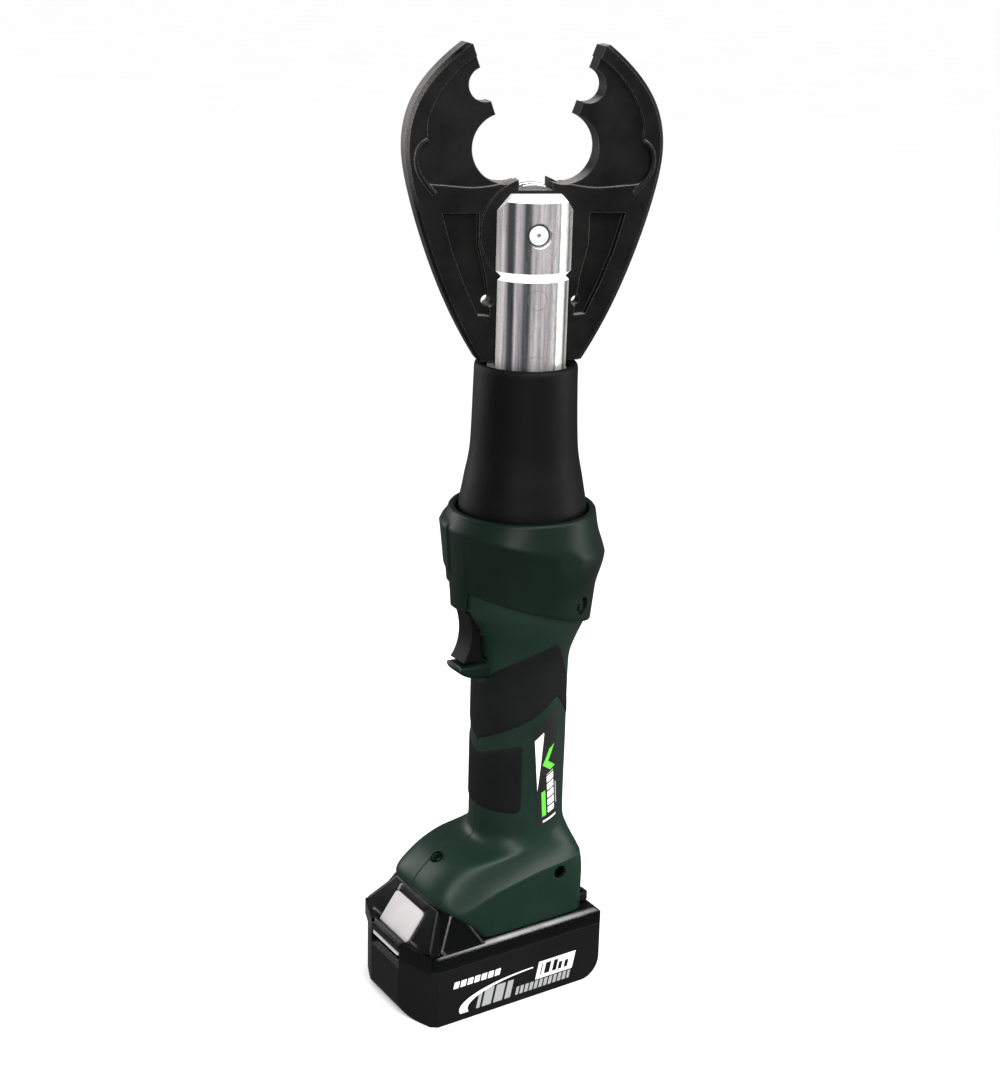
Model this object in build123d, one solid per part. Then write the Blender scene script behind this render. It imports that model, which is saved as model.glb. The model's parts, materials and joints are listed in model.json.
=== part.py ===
from build123d import *
import math
import os

# An in-line battery hydraulic crimper that stands on its slide-in battery.
# Frame: millimetres, +Z up the tool axis, -Y the trigger side, +X the right side.
# The origin is on the tool axis, in the plane that the battery stands on.

# ---- heights along the tool axis
SEAM_Z = 33.0            # joint between the lower and the upper battery case
DECK_Z = 43.0            # battery deck, where the housing's foot begins
GRIP_LOW_Z = 104.0
GRIP_HIGH_Z = 180.0
SHOULDER_Z = 262.0       # top of the housing halves, inside the collar
COLLAR_TOP_Z = 272.8
SLEEVE_LOW_Z = 267.0
SLEEVE_TOP_Z = 348.9
PIN_Z = 415.3            # jaw pivot

# ---- battery
CASE_HALF_WIDTH = 37.5
CASE_FRONT_Y = -80.0
CASE_CORNER_Y = -71.5
CASE_REAR_Y = 36.0
FRONT_FLAT = 15.0        # half width of the flat front face
CASE_WALL = 2.2
RAIL_HALF_WIDTH = 27.0   # block on the battery that slides into the foot
RAIL_TOP_Z = 55.0
PROW_TOP_Z = 61.5
PROW_TOP_Y = -60.5
CELL_RADIUS = 9.2
CELL_LENGTH = 65.0
CELL_PITCH = 19.0
CELL_FRONT_Y = -59.2
BUTTON_LOW = 0.9          # the release button's ends, measured up the prow's slope
BUTTON_TOP = 27.7
BUTTON_TRAVEL = 4.0
CASE_SCREWS = [(-30.0, 30.0), (30.0, 30.0), (-12.0, -73.9), (12.0, -73.9)]

# ---- grip and foot
GRIP_Y = 1.8             # the grip's axis lies a little behind the tool axis
GRIP_RADIUS = 25.9
WALL = 2.8
FOOT_REAR_Y = 27.8
RAIL_REAR_Y = 24.4       # the rail block stops short of the foot's rear wall
LUG_X = 23.5             # tether lug at the right rear of the foot
LUG_HOLE_Y = 31.0
LUG_HOLE_RADIUS = 2.0

PAD_STAND = 0.8          # the grip pads stand this proud of the housing
PAD_GAP = 0.03
BOSS_RADIUS = 3.6
HEAD_RADIUS = 2.7
SCREW_PLACES = [         # y, z, half length, side of the head
    (10.0, 70.0, 32.5, 1),
    (18.0, 92.0, 23.0, -1),
    (19.5, 206.0, 26.0, -1),
]
COLLAR_SCREW_ANGLE = 114.0   # from the trigger side towards the right
COLLAR_SCREW_Z = 223.5
CROWN_X = 4.6            # screw in the crown of the nose
CROWN_Y = -50.2
CROWN_Z = 77.6
CROWN_TILT = 33.0

# ---- motor, gears and pump
MOTOR_RADIUS = 21.0
GEAR_MODULE = 0.8
SUN_TEETH = 12
PLANET_TEETH = 15
RING_TEETH = 42
PLANETS = 3
GEAR_LOW_Z = 162.0
GEAR_HIGH_Z = 168.0
ECCENTRIC = 1.6
PUMP_RADIUS = 30.0
SWIVEL_RADIUS = 22.5     # outside of the hydraulic cylinder
RUNNING = 0.05           # radial clearance of a running fit

# ---- trigger
TRIGGER_HALF_WIDTH = 6.6

# ---- head: x runs across the jaws, y through them, then turned by HEAD_YAW
HEAD_YAW = 70.0
JAW_HALF_THICK = 8.6
SLOT_HALF = 9.1
LAP_GAP = 0.15
OPEN_ANGLE = 20.0
HUB_RADIUS = 27.0
LAP_CLEARANCE = 0.4
PIN_RADIUS = 5.5
BIG_GROOVE_DISTANCE = 43.0
BIG_GROOVE_RADIUS = 17.1
SMALL_GROOVE_DISTANCE = 75.0
SMALL_GROOVE_RADIUS = 8.3
TIP_DISTANCE = 95.0
MATING_GAP = 0.1
CRIMP_RECESS = 1.9
POCKET_RECESS = 4.4
CLEVIS_RADIUS = 21.2
CLEVIS_LOW_RADIUS = 20.4
CLEVIS_TOP_Z = PIN_Z + 19.0
CLEVIS_BASE_Z = 331.0
SLOT_FLOOR_Z = 346.0

# ---- ram
ROLLER_RADIUS = 7.0
ROLLER_X = 7.6
ROLLER_REST = -57.5      # below the pin, jaws open
RAM_TRAVEL = 22.0
CAM_CLEARANCE = 0.25
FORK_HALF_WIDTH = 13.2
FORK_EAR = 5.8
ROD_RADIUS = 10.0
ROD_TOP_Z = 338.0
PISTON_RADIUS = 18.0


# ---------------------------------------------------------------- helpers
def cylinder(radius, low, high, x=0.0, y=0.0):
    """Upright cylinder between two heights."""
    shape = Cylinder(radius, high - low)
    return Pos(x, y, (low + high) / 2) * shape


def tube(outer, inner, low, high, x=0.0, y=0.0):
    """Upright tube between two heights."""
    return cylinder(outer, low, high, x, y) - cylinder(inner, low - 1, high + 1, x, y)


def box(x0, x1, y0, y1, z0, z1):
    """Box between two corners."""
    shape = Box(x1 - x0, y1 - y0, z1 - z0)
    return Pos((x0 + x1) / 2, (y0 + y1) / 2, (z0 + z1) / 2) * shape


def rod_x(radius, x0, x1, y, z):
    """Cylinder along X."""
    return Pos((x0 + x1) / 2, y, z) * Rot(0, 90, 0) * Cylinder(radius, x1 - x0)


def rod_y(radius, y0, y1, x, z):
    """Cylinder along Y."""
    return Pos(x, (y0 + y1) / 2, z) * Rot(90, 0, 0) * Cylinder(radius, y1 - y0)


def outline_yz(points, half):
    """Solid of a closed YZ polygon, from -half to +half along X."""
    face = make_face(Polyline(*[(0, y, z) for y, z in points], close=True))
    return extrude(face, amount=half, dir=(1, 0, 0), both=True)


def outline_rz(points):
    """Solid of revolution of a closed polygon (radius, z) about the tool axis."""
    face = make_face(Polyline(*[(radius, 0, z) for radius, z in points], close=True))
    return revolve(face, Axis.Z)


def through(wires, half):
    """Solid of an XZ outline, from -half to +half along Y."""
    return extrude(make_face(wires), amount=half, dir=(0, 1, 0), both=True)


def keep_below(shape, first, second, third):
    """Cut away what lies above the plane through three points."""
    a, b, c = Vector(first), Vector(second), Vector(third)
    normal = (b - a).cross(c - a)
    if normal.Z < 0:
        normal = -normal
    return split(shape, bisect_by=Plane(origin=a, z_dir=normal), keep=Keep.BOTTOM)


def ring_section(z, half_x, front, rear, power, inset=0.0):
    """Closed superellipse section of the housing at a height."""
    half_y = (rear - front) / 2 - inset
    centre = (rear + front) / 2
    points = []
    for step in range(24):
        angle = math.radians(15 * step)
        cosine, sine = math.cos(angle), math.sin(angle)
        x = (half_x - inset) * math.copysign(abs(cosine) ** (2 / power), cosine)
        y = half_y * math.copysign(abs(sine) ** (2 / power), sine)
        points.append((x, centre + y, z))
    return make_face(Spline(*points, periodic=True))


def bottom_arc(y, low, radius, side):
    """Rounded bottom edge in the YZ plane, at the front (side -1) or the rear (side 1)."""
    short = radius * (1 - math.sqrt(0.5))
    ends = [(0, y, low + radius), (0, y - side * short, low + short), (0, y - side * radius, low)]
    return ThreePointArc(*ends[::-side])


def write(name, shape):
    """Write one named sub-part."""
    if isinstance(shape, (list, ShapeList)):
        shape = Compound(children=list(shape))
    export_step(shape, f"parts/{name}.step")


# ---------------------------------------------------------------- battery
def battery_outline(inset=0.0):
    """Plan of the battery case: flat front, two facets, long sides."""
    half = CASE_HALF_WIDTH - inset
    front = CASE_FRONT_Y + inset
    corner = CASE_CORNER_Y + inset
    right = [(FRONT_FLAT, front), (half - 2.5, corner), (half, corner + 3.5)]
    right.append((half, CASE_REAR_Y - inset))
    left = [(-x, y) for x, y in reversed(right)]
    return make_face(Polyline(*right, *left, close=True))


def case_profile(inset=0.0):
    """Side view of the lower case: rounded front and rear bottom edges."""
    low, high = inset, SEAM_Z
    front, rear = CASE_FRONT_Y + inset, CASE_REAR_Y - inset
    front_round, rear_round = 7.0, 12.0
    lines = [
        Line((0, front, high), (0, front, low + front_round)),
        bottom_arc(front, low, front_round, -1),
        Line((0, front + front_round, low), (0, rear - rear_round, low)),
        bottom_arc(rear, low, rear_round, 1),
        Line((0, rear, low + rear_round), (0, rear, high)),
        Line((0, rear, high), (0, front, high)),
    ]
    return extrude(make_face(lines), amount=50, dir=(1, 0, 0), both=True)


def lower_case():
    """Tray of the battery, with a screw boss near each corner."""
    outer = extrude(battery_outline(), amount=SEAM_Z) & case_profile()
    inner = extrude(battery_outline(CASE_WALL), amount=SEAM_Z + 1) & case_profile(CASE_WALL)
    shape = outer - inner
    for x, y in CASE_SCREWS:
        shape = shape + (cylinder(3.4, 0, SEAM_Z, x, y) & outer)
        shape = shape - cylinder(2.4, -1, 24, x, y) - cylinder(1.3, 20, SEAM_Z + 1, x, y)
    return shape - button_pocket()


def prow():
    """Raised front of the battery, which carries the release button."""
    shape = Pos(0, 0, SEAM_Z) * extrude(battery_outline(), amount=PROW_TOP_Z + 1 - SEAM_Z)
    shape = shape & box(-50, 50, -90, -38.6, SEAM_Z, PROW_TOP_Z + 2)
    front_edge = (CASE_FRONT_Y, SEAM_Z + 1.0)
    shape = keep_below(shape, (-9, *front_edge), (9, *front_edge), (0, PROW_TOP_Y, PROW_TOP_Z))
    crest = (PROW_TOP_Y, PROW_TOP_Z)
    shape = keep_below(shape, (-9, *crest), (9, *crest), (0, -38.6, DECK_Z))
    for side in (-1, 1):
        deck_front = (side * 36.2, CASE_CORNER_Y + 1, DECK_Z - 1.2)
        deck_back = (side * 35.0, -38.6, DECK_Z - 1.2)
        ridge = (side * 22.5, PROW_TOP_Y, PROW_TOP_Z - 1.0)
        shape = keep_below(shape, deck_front, deck_back, ridge)
    return shape


SLOPE = math.atan2(PROW_TOP_Z - SEAM_Z - 1.0, PROW_TOP_Y - CASE_FRONT_Y)


def on_prow(along, depth):
    """Place (y, z) on the prow's slope: along from its foot, depth into it."""
    y = CASE_FRONT_Y + along * math.cos(SLOPE) + depth * math.sin(SLOPE)
    z = SEAM_Z + 1.0 + along * math.sin(SLOPE) - depth * math.cos(SLOPE)
    return y, z


def slope_block(half_width, low, high, top_depth, bottom_depth, radius=0.0):
    """Block lying in the prow's slope."""
    y, z = on_prow((low + high) / 2, (top_depth + bottom_depth) / 2)
    block = Box(2 * half_width, high - low, bottom_depth - top_depth)
    if radius > 0:
        block = fillet(block.edges().filter_by(Axis.Z), radius)
    return Pos(0, y, z) * Rot(math.degrees(SLOPE), 0, 0) * block


def button_pocket():
    """Room for the release button, open at the foot of the slope."""
    return slope_block(15.2, -BUTTON_TRAVEL - 4.0, BUTTON_TOP + 0.5, -2, 3.6, 2.6)


def upper_case():
    deck = Pos(0, 0, SEAM_Z) * extrude(battery_outline(), amount=DECK_Z - SEAM_Z)
    deck = chamfer(deck.edges().group_by(Axis.Z)[-1], 2.4)
    rail = box(-RAIL_HALF_WIDTH, RAIL_HALF_WIDTH, -36.5, RAIL_REAR_Y, DECK_Z - 1, RAIL_TOP_Z)
    shape = deck + prow() + rail
    hollow = extrude(battery_outline(CASE_WALL + 1.0), amount=DECK_Z - SEAM_Z - 1.6)
    shape = shape - Pos(0, 0, SEAM_Z - 1) * hollow
    shape = shape - box(-20, 20, -34, RAIL_REAR_Y - 2.4, DECK_Z - 4, RAIL_TOP_Z - 2.4)
    for side in (-1, 1):
        inner, outer = sorted((side * (RAIL_HALF_WIDTH - 4), side * (RAIL_HALF_WIDTH + 1)))
        shape = shape - box(inner, outer, -60, 40, 46, 50)
        slot = sorted((side * 9.0, side * 12.0))
        shape = shape - box(slot[0], slot[1], 0, 40, 47, RAIL_TOP_Z + 1)
    shape = shape - button_pocket()
    shape = shape - slope_block(9.4, 2.0, 26.4, 3, 7.4, 1.0)
    return shape


def battery_cells():
    cells = []
    for row in range(2):
        for column in range(5):
            y = CELL_FRONT_Y + CELL_PITCH * column
            z = 11.9 + row * (CELL_PITCH - 0.3)
            cells.append(rod_x(CELL_RADIUS, -CELL_LENGTH / 2, CELL_LENGTH / 2, y, z))
    return cells


def cell_straps():
    straps = []
    for side in (-1, 1):
        for column in range(5):
            y = CELL_FRONT_Y + CELL_PITCH * column
            inner, outer = sorted((side * 32.5, side * 32.9))
            straps.append(box(inner, outer, y - 4, y + 4, 6, 37))
    return straps


def battery_parts():
    write("battery_lower_case", lower_case())
    write("battery_upper_case", upper_case())
    write("battery_cells", battery_cells())
    write("battery_board", box(-18, 18, -32, 21, 41.2, 42.8))
    contacts = [box(s * 10.5 - 0.9, s * 10.5 + 0.9, 2, 20, 43, 46.8) for s in (-1, 1)]
    write("battery_contacts", contacts + cell_straps())
    screws = [cylinder(1.2, 24, 32.8, x, y) + cylinder(2.2, 22.5, 24, x, y) for x, y in CASE_SCREWS]
    write("battery_screws", screws)
    button = slope_block(14.7, BUTTON_LOW, BUTTON_TOP, -0.6, 3.3, 2.4)
    for step in range(3):
        button = button - slope_block(9.0, 3.4 + 2.2 * step, 4.4 + 2.2 * step, -2, -0.2)
    write("battery_button", button)
    latch = slope_block(8.8, 6.6, 25.8, 3.3, 6.9, 0.8)
    write("battery_latch", latch)


# ---------------------------------------------------------------- housing
SHOULDER_RADIUS = 37.3
TOP_STEP = 0.3
HOUSING_SECTIONS = [
    # height, half width, front y, rear y, squareness
    (DECK_Z + 0.3, 34.0, -38.0, FOOT_REAR_Y, 4.2),
    (50.0, 34.0, -45.6, FOOT_REAR_Y, 4.2),
    (57.0, 33.9, -54.2, FOOT_REAR_Y, 4.2),
    (63.0, 33.7, -60.6, FOOT_REAR_Y, 4.2),
    (70.0, 33.0, -59.6, FOOT_REAR_Y, 4.0),
    (78.0, 31.4, -50.4, FOOT_REAR_Y, 3.6),
    (87.0, 28.8, -36.8, FOOT_REAR_Y, 2.9),
    (96.0, 26.8, -27.6, FOOT_REAR_Y, 2.3),
    (GRIP_LOW_Z, 26.0, -24.3, 27.7, 2.05),
    (140.0, GRIP_RADIUS, -24.1, 27.7, 2.0),
    (GRIP_HIGH_Z, GRIP_RADIUS, -24.1, 27.7, 2.0),
    (192.0, 26.6, -24.4, 28.4, 2.0),
    (202.0, 29.6, -25.6, 31.6, 2.0),
    (212.0, 34.2, -30.2, 35.4, 2.0),
    (220.0, 36.7, -35.4, 37.0, 2.0),
    (226.0, SHOULDER_RADIUS, -SHOULDER_RADIUS, SHOULDER_RADIUS, 2.0),
]


def flared_solid(inset):
    """Housing filled in, from the foot to the start of its round top."""
    return loft([ring_section(*section, inset=inset) for section in HOUSING_SECTIONS])


def round_top():
    """Round top of the housing, inside the collar, set in a little from both faces of the wall."""
    outer = SHOULDER_RADIUS - TOP_STEP
    return tube(outer, outer - WALL + 2 * TOP_STEP, HOUSING_SECTIONS[-1][0], SHOULDER_Z)


def finger_stop():
    """Curled lip under the trigger."""
    profile = [(-20, 178), (-33, 180.6), (-38.6, 183.6), (-39.8, 189.0), (-37.6, 190.6),
               (-33, 187.6), (-20, 186.5)]
    return outline_yz(profile, 7.4)


def skin(outside, inside):
    """Layer that follows the housing, between two distances outside its surface."""
    return flared_solid(-outside) - flared_solid(-inside)


def pad_band(layer, low_front, low_back, high_front, high_back, reach_angle):
    """Part of a layer around the grip, between two slanted planes."""
    points = []
    for front, back, sides in ((low_front, low_back, (-1, 1)), (high_front, high_back, (1, -1))):
        for side in sides:
            reach = side * 2 * GRIP_RADIUS
            height = (front + back) / 2 + (back - front) / 2 * reach / GRIP_RADIUS
            points.append((GRIP_Y + reach, height))
    band = layer & outline_yz(points, 60)
    rear_y = GRIP_Y - GRIP_RADIUS * math.cos(math.radians(reach_angle))
    return band & box(-60, 60, -60, rear_y, 0, 300)


def upper_pad(layer):
    return pad_band(layer, 146.0, 176.0, 179.0, 203.0, 118)


def lower_pad(layer):
    return pad_band(layer, 106.0, 104.0, 139.0, 152.0, 62)


def label_block(side, inner, outer, grow=0.0):
    """Label field on one side of the grip, leaning back towards the foot."""
    skin = tube(GRIP_RADIUS + outer, GRIP_RADIUS + inner, 90, 166, 0, GRIP_Y)
    field = [(-4.9 - grow, 152.0 + grow), (8.9 + grow, 161.5 + grow), (14.7 + grow, 99.0 - grow),
             (-0.5 - grow, 97.0 - grow)]
    inner_x, outer_x = sorted((side * 15, side * 40))
    return skin & outline_yz(field, 60) & box(inner_x, outer_x, -40, 40, 80, 180)


def boss(place):
    """Screw boss across both halves."""
    y, z, reach, side = place
    return rod_x(BOSS_RADIUS, 1.5 - reach, reach - 1.5, y, z)


def screw_bore(place):
    """Bore and head recess of one housing screw."""
    y, z, reach, side = place
    bore = rod_x(1.5, *sorted((side * (7 - reach), side * reach)), y, z)
    return bore + rod_x(HEAD_RADIUS + 0.2, *sorted((side * (reach - 6), side * 60)), y, z)


def housing_screw(place):
    y, z, reach, side = place
    shank = rod_x(1.4, *sorted((side * (8 - reach), side * (reach - 6))), y, z)
    return shank + rod_x(HEAD_RADIUS, *sorted((side * (reach - 6), side * (reach - 3.6))), y, z)


def on_crown(shape):
    """Place an upright shape on the crown of the nose, square to its slope."""
    return Pos(CROWN_X, CROWN_Y, CROWN_Z) * Rot(CROWN_TILT, 0, 0) * shape


def housing_half(side):
    """One half of the housing, split on the plane x = 0."""
    half = box(0, 60, -90, 60, 0, 300)
    cavity = flared_solid(WALL) & half
    shell = (flared_solid(0.0) & half) - cavity
    if side < 0:
        half, cavity, shell = [mirror(shape, about=Plane.YZ) for shape in (half, cavity, shell)]
    shell = shell + ((finger_stop() & half) - cavity)
    shell = shell + (round_top() & half)
    rail, blade = RAIL_HALF_WIDTH + 1, TRIGGER_HALF_WIDTH + 0.5
    shell = shell - box(-rail, rail, -60, RAIL_REAR_Y + 0.6, 30, RAIL_TOP_Z + 0.6)
    shell = shell - box(-blade, blade, -60, -10, 190.8, 221.5)
    shell = shell - label_block(side, -0.8, 1.0, 0.1)
    lip = sorted((side * (RAIL_HALF_WIDTH - 3.6), side * 32.0))
    shell = shell + box(lip[0], lip[1], -34, 22, 46.4, 49.6)
    for place in SCREW_PLACES:
        shell = shell + (boss(place) & half) - screw_bore(place)
    shell = shell - Rot(0, 0, COLLAR_SCREW_ANGLE) * rod_y(2.1, -60, -20, 0, COLLAR_SCREW_Z)
    for z in (100.0, 157.0):
        shell = shell + (tube(GRIP_RADIUS - 1.8, MOTOR_RADIUS + 0.1, z, z + 2, 0, GRIP_Y) & half)
    if side > 0:
        seat = on_crown(cylinder(5.0, -7.0, -1.0)) & half
        shell = shell + seat - on_crown(cylinder(HEAD_RADIUS + 0.2, -3.0, 8.0))
        shell = shell - on_crown(cylinder(1.5, -8.0, 0.0))
        lug = box(LUG_X - 4.5, LUG_X + 4.5, 22.0, LUG_HOLE_Y + 3.6, 43.8, 47.8)
        lug = fillet(lug.edges().filter_by(Axis.Z).sort_by(Axis.Y)[-2:], 3.0)
        lug = lug - box(0, 40, 20, RAIL_REAR_Y + 0.6, 43, 48)
        write("tether_lug", lug - shell - cylinder(LUG_HOLE_RADIUS, 40, 50, LUG_X, LUG_HOLE_Y))
    return shell


def collar():
    """Ring over the top of the halves, with a slanted lower edge and a brow over the trigger."""
    ring = outline_rz([(37.8, 200), (38.3, 200), (38.6, 222), (41.6, 244), (42.0, 250), (41.0, 260),
                       (39.4, 270), (38.0, COLLAR_TOP_Z), (34.4, COLLAR_TOP_Z), (34.4, 265), (37.8, 262.5)])
    keep = outline_yz([(-60, 239.2), (60, 202.0), (60, 300), (-60, 300)], 60)
    brow = box(-8.0, 8.0, -60, -20, 220.4, 240)
    shape = (ring & keep) + (ring & brow)
    return shape - Rot(0, 0, COLLAR_SCREW_ANGLE) * rod_y(2.2, -60, -20, 0, COLLAR_SCREW_Z)


def housing_parts():
    write("housing_left", housing_half(-1))
    write("housing_right", housing_half(1))
    write("collar", collar())
    layer = skin(PAD_STAND, PAD_GAP)
    write("upper_grip_pad", upper_pad(layer))
    write("lower_grip_pad", lower_pad(layer))
    write("grip_labels", [label_block(side, -0.7, 0.15) for side in (-1, 1)])
    screws = [housing_screw(place) for place in SCREW_PLACES]
    screws.append(on_crown(cylinder(HEAD_RADIUS, -3.0, -0.8) + cylinder(1.4, -7.5, -3.0)))
    screws.append(Rot(0, 0, COLLAR_SCREW_ANGLE) * rod_y(2.0, -38.4, -31, 0, COLLAR_SCREW_Z))
    write("housing_screws", screws)


# ---------------------------------------------------------------- drive train
def gear_outline(teeth, module, phase, addendum, dedendum, fill=0.40):
    """Closed outline of a spur gear with straight-sided teeth."""
    pitch = module * teeth / 2
    step = 360 / teeth
    points = []
    for tooth in range(teeth):
        centre = phase + tooth * step
        for share, radius in ((-0.32, pitch - dedendum), (-fill / 2 * 0.55, pitch + addendum),
                              (fill / 2 * 0.55, pitch + addendum), (0.32, pitch - dedendum)):
            angle = math.radians(centre + share * step)
            points.append((radius * math.cos(angle), radius * math.sin(angle)))
    return make_face(Polyline(*points, close=True))


def gear(teeth, phase, low, high, x, y):
    face = gear_outline(teeth, GEAR_MODULE, phase, 0.62, 0.86)
    return Pos(x, y, low) * extrude(face, amount=high - low)


def ring_gear():
    face = gear_outline(RING_TEETH, GEAR_MODULE, 0, 0.86, 0.62, fill=1.16)
    bore = Pos(0, GRIP_Y, GEAR_LOW_Z - 2) * extrude(face, amount=GEAR_HIGH_Z - GEAR_LOW_Z + 4)
    return cylinder(MOTOR_RADIUS, GEAR_LOW_Z - 2, GEAR_HIGH_Z + 2, 0, GRIP_Y) - bore


def drive_parts():
    centre = GEAR_MODULE * (SUN_TEETH + PLANET_TEETH) / 2
    can = tube(MOTOR_RADIUS, 19.2, 104, 156, 0, GRIP_Y) + tube(MOTOR_RADIUS, 5.05, 154, 156, 0, GRIP_Y)
    write("motor_can", can)
    magnets = []
    for side in (-1, 1):
        inner_x, outer_x = sorted((side * 1.5, side * 31.5))
        magnets.append(tube(19.1, 15.6, 110, 148, 0, GRIP_Y) & box(inner_x, outer_x, -30, 30, 100, 160))
    write("motor_magnets", magnets)
    cap = cylinder(MOTOR_RADIUS, 101, 104, 0, GRIP_Y) - cylinder(5.05, 100, 105, 0, GRIP_Y)
    write("motor_end_cap", cap)
    bearings = [tube(5.0, 2.55, 101, 104, 0, GRIP_Y), tube(5.0, 2.55, 153.2, 156, 0, GRIP_Y)]
    write("motor_bearings", bearings)
    shaft = cylinder(2.5, 99, GEAR_LOW_Z - 0.5, 0, GRIP_Y)
    write("motor_shaft", shaft)
    core = tube(14.8, 2.5, 116, 142, 0, GRIP_Y)
    for slot in range(8):
        cut = box(-1.6, 1.6, 9.5, 13.6, 115, 143) + box(-0.7, 0.7, 13, 16, 115, 143)
        core = core - Pos(0, GRIP_Y, 0) * Rot(0, 0, 45 * slot) * cut
    write("rotor_core", core)
    windings = [tube(12.4, 5.0, low, low + 4, 0, GRIP_Y) for low in (112, 142)]
    write("rotor_windings", windings + [tube(5.0, 2.5, 106, 111.5, 0, GRIP_Y)])
    brushes = [box(s * 8.4 - 3.2, s * 8.4 + 3.2, GRIP_Y - 2, GRIP_Y + 2, 106.5, 110.5) for s in (-1, 1)]
    write("motor_brushes", brushes)
    write("sun_gear", gear(SUN_TEETH, 0, GEAR_LOW_Z - 0.5, GEAR_HIGH_Z, 0, GRIP_Y))
    write("ring_gear", ring_gear())
    carrier = tube(15.0, 7.2, GEAR_LOW_Z - 1.9, GEAR_LOW_Z - 0.4, 0, GRIP_Y)
    carrier = carrier + cylinder(15.0, GEAR_HIGH_Z + 0.4, GEAR_HIGH_Z + 2.2, 0, GRIP_Y)
    carrier = carrier + cylinder(5.0, GEAR_HIGH_Z + 2.2, 179, 0, GRIP_Y)
    carrier = carrier + cylinder(6.5, 179, 187, ECCENTRIC, GRIP_Y)
    for planet in range(PLANETS):
        angle = 360 / PLANETS * planet
        turn = Pos(0, GRIP_Y, 0) * Rot(0, 0, angle)
        carrier = carrier + turn * cylinder(2.0, GEAR_LOW_Z - 1, GEAR_HIGH_Z + 1, centre, 0)
        teeth = gear(PLANET_TEETH, 0, GEAR_LOW_Z, GEAR_HIGH_Z, 0, 0) - cylinder(2.0 + RUNNING, 150, 180)
        write(f"planet_gear_{planet + 1}", turn * Pos(centre, 0, 0) * teeth)
    write("planet_carrier", carrier)
    plate = cylinder(MOTOR_RADIUS, GEAR_HIGH_Z + 2.6, GEAR_HIGH_Z + 6, 0, GRIP_Y)
    write("gearbox_plate", plate - cylinder(5.0 + RUNNING, 160, 190, 0, GRIP_Y))
    frame = tube(13.0, 10.0, 174.2, 192, 0, GRIP_Y) + cylinder(13.0, 192, 222, 0, GRIP_Y)
    frame = frame + cylinder(PUMP_RADIUS, 222, 254)
    frame = frame - cylinder(12.0 + RUNNING, 236, 256) - cylinder(3.0, 206, 238, 0, 5)
    frame = frame - rod_y(3.0 + RUNNING, 5, 20, 0, 183) - rod_x(4.0, 14, 40, 8, 240)
    write("pump_body", frame)
    write("pump_plunger", rod_y(3.0, GRIP_Y + 8.3, 19.5, 0, 183))
    write("relief_valve", rod_x(3.9, 14, 31.5, 8, 240))
    bladder = tube(20.5, 13.4, 178, 216, 0, GRIP_Y) & box(-30, 30, 1, 30, 170, 220)
    write("oil_bladder", bladder - box(-4, 4, 1, 30, 176, 190) - box(-30, 30, 13, 30, 200, 212))


def trigger_parts():
    """Blade, stem, spring and switch of the trigger."""
    outline = [
        Line((0, -27.6, 219.6), (0, -35.4, 219.6)),
        Spline((0, -35.4, 219.6), (0, -33.2, 210), (0, -34.4, 199), (0, -38.0, 192.4)),
        Line((0, -38.0, 192.4), (0, -27.6, 192.4)),
        Line((0, -27.6, 192.4), (0, -27.6, 219.6)),
    ]
    blade = extrude(make_face(outline), amount=TRIGGER_HALF_WIDTH, dir=(1, 0, 0), both=True)
    blade = blade + rod_y(2.0, -27.8, -23.6, 0, 206)
    write("trigger", blade)
    switch = box(-7.5, 7.5, -18.4, -11.6, 194, 218)
    write("trigger_switch", switch + rod_y(1.8, -19.0, -18.0, 0, 206))
    helix = Helix(pitch=1.5, height=7.5, radius=3.2)
    profile = Plane(origin=helix @ 0, z_dir=helix % 0) * Circle(0.35)
    coil = sweep(profile, path=helix)
    write("trigger_spring", Pos(0, -26.6, 206) * Rot(-90, 0, 0) * coil)


def electric_parts():
    block = box(-22, 22, -20, 20, RAIL_TOP_Z + 1.2, 61)
    write("terminal_block", block)
    blades = [box(s * 10.5 - 0.4, s * 10.5 + 0.4, 4, 18, 48.5, RAIL_TOP_Z + 1.2) for s in (-1, 1)]
    write("terminal_blades", blades)
    board = box(-19, 19, -36, 6, 66, 67.6)
    board = board + cylinder(4.0, 67.6, 78, -9, -14) + box(4, 13, -28, -16, 67.6, 74)
    write("control_board", board + box(-12, -4, -32, -26, 67.6, 71))


# ---------------------------------------------------------------- head
def in_head(shape):
    """Turn a piece of the head to its rest angle."""
    if isinstance(shape, list):
        return [Rot(0, 0, HEAD_YAW) * item for item in shape]
    return Rot(0, 0, HEAD_YAW) * shape


def about_pin(shape, angle):
    """Turn a shape about the jaw pin, positive closing the right jaw."""
    return Pos(0, 0, PIN_Z) * Rot(0, -angle, 0) * Pos(0, 0, -PIN_Z) * shape


def lifted(points):
    """Points (x, z) measured from the pin, as places."""
    return [(x, 0, PIN_Z + z) for x, z in points]


def roller_centre(travel):
    """Roller centre in the frame of the closed right jaw, at some ram travel."""
    angle = math.radians(OPEN_ANGLE * (1 - travel / RAM_TRAVEL))
    x, z = ROLLER_X, ROLLER_REST + travel
    return x * math.cos(angle) - z * math.sin(angle), x * math.sin(angle) + z * math.cos(angle)


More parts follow.
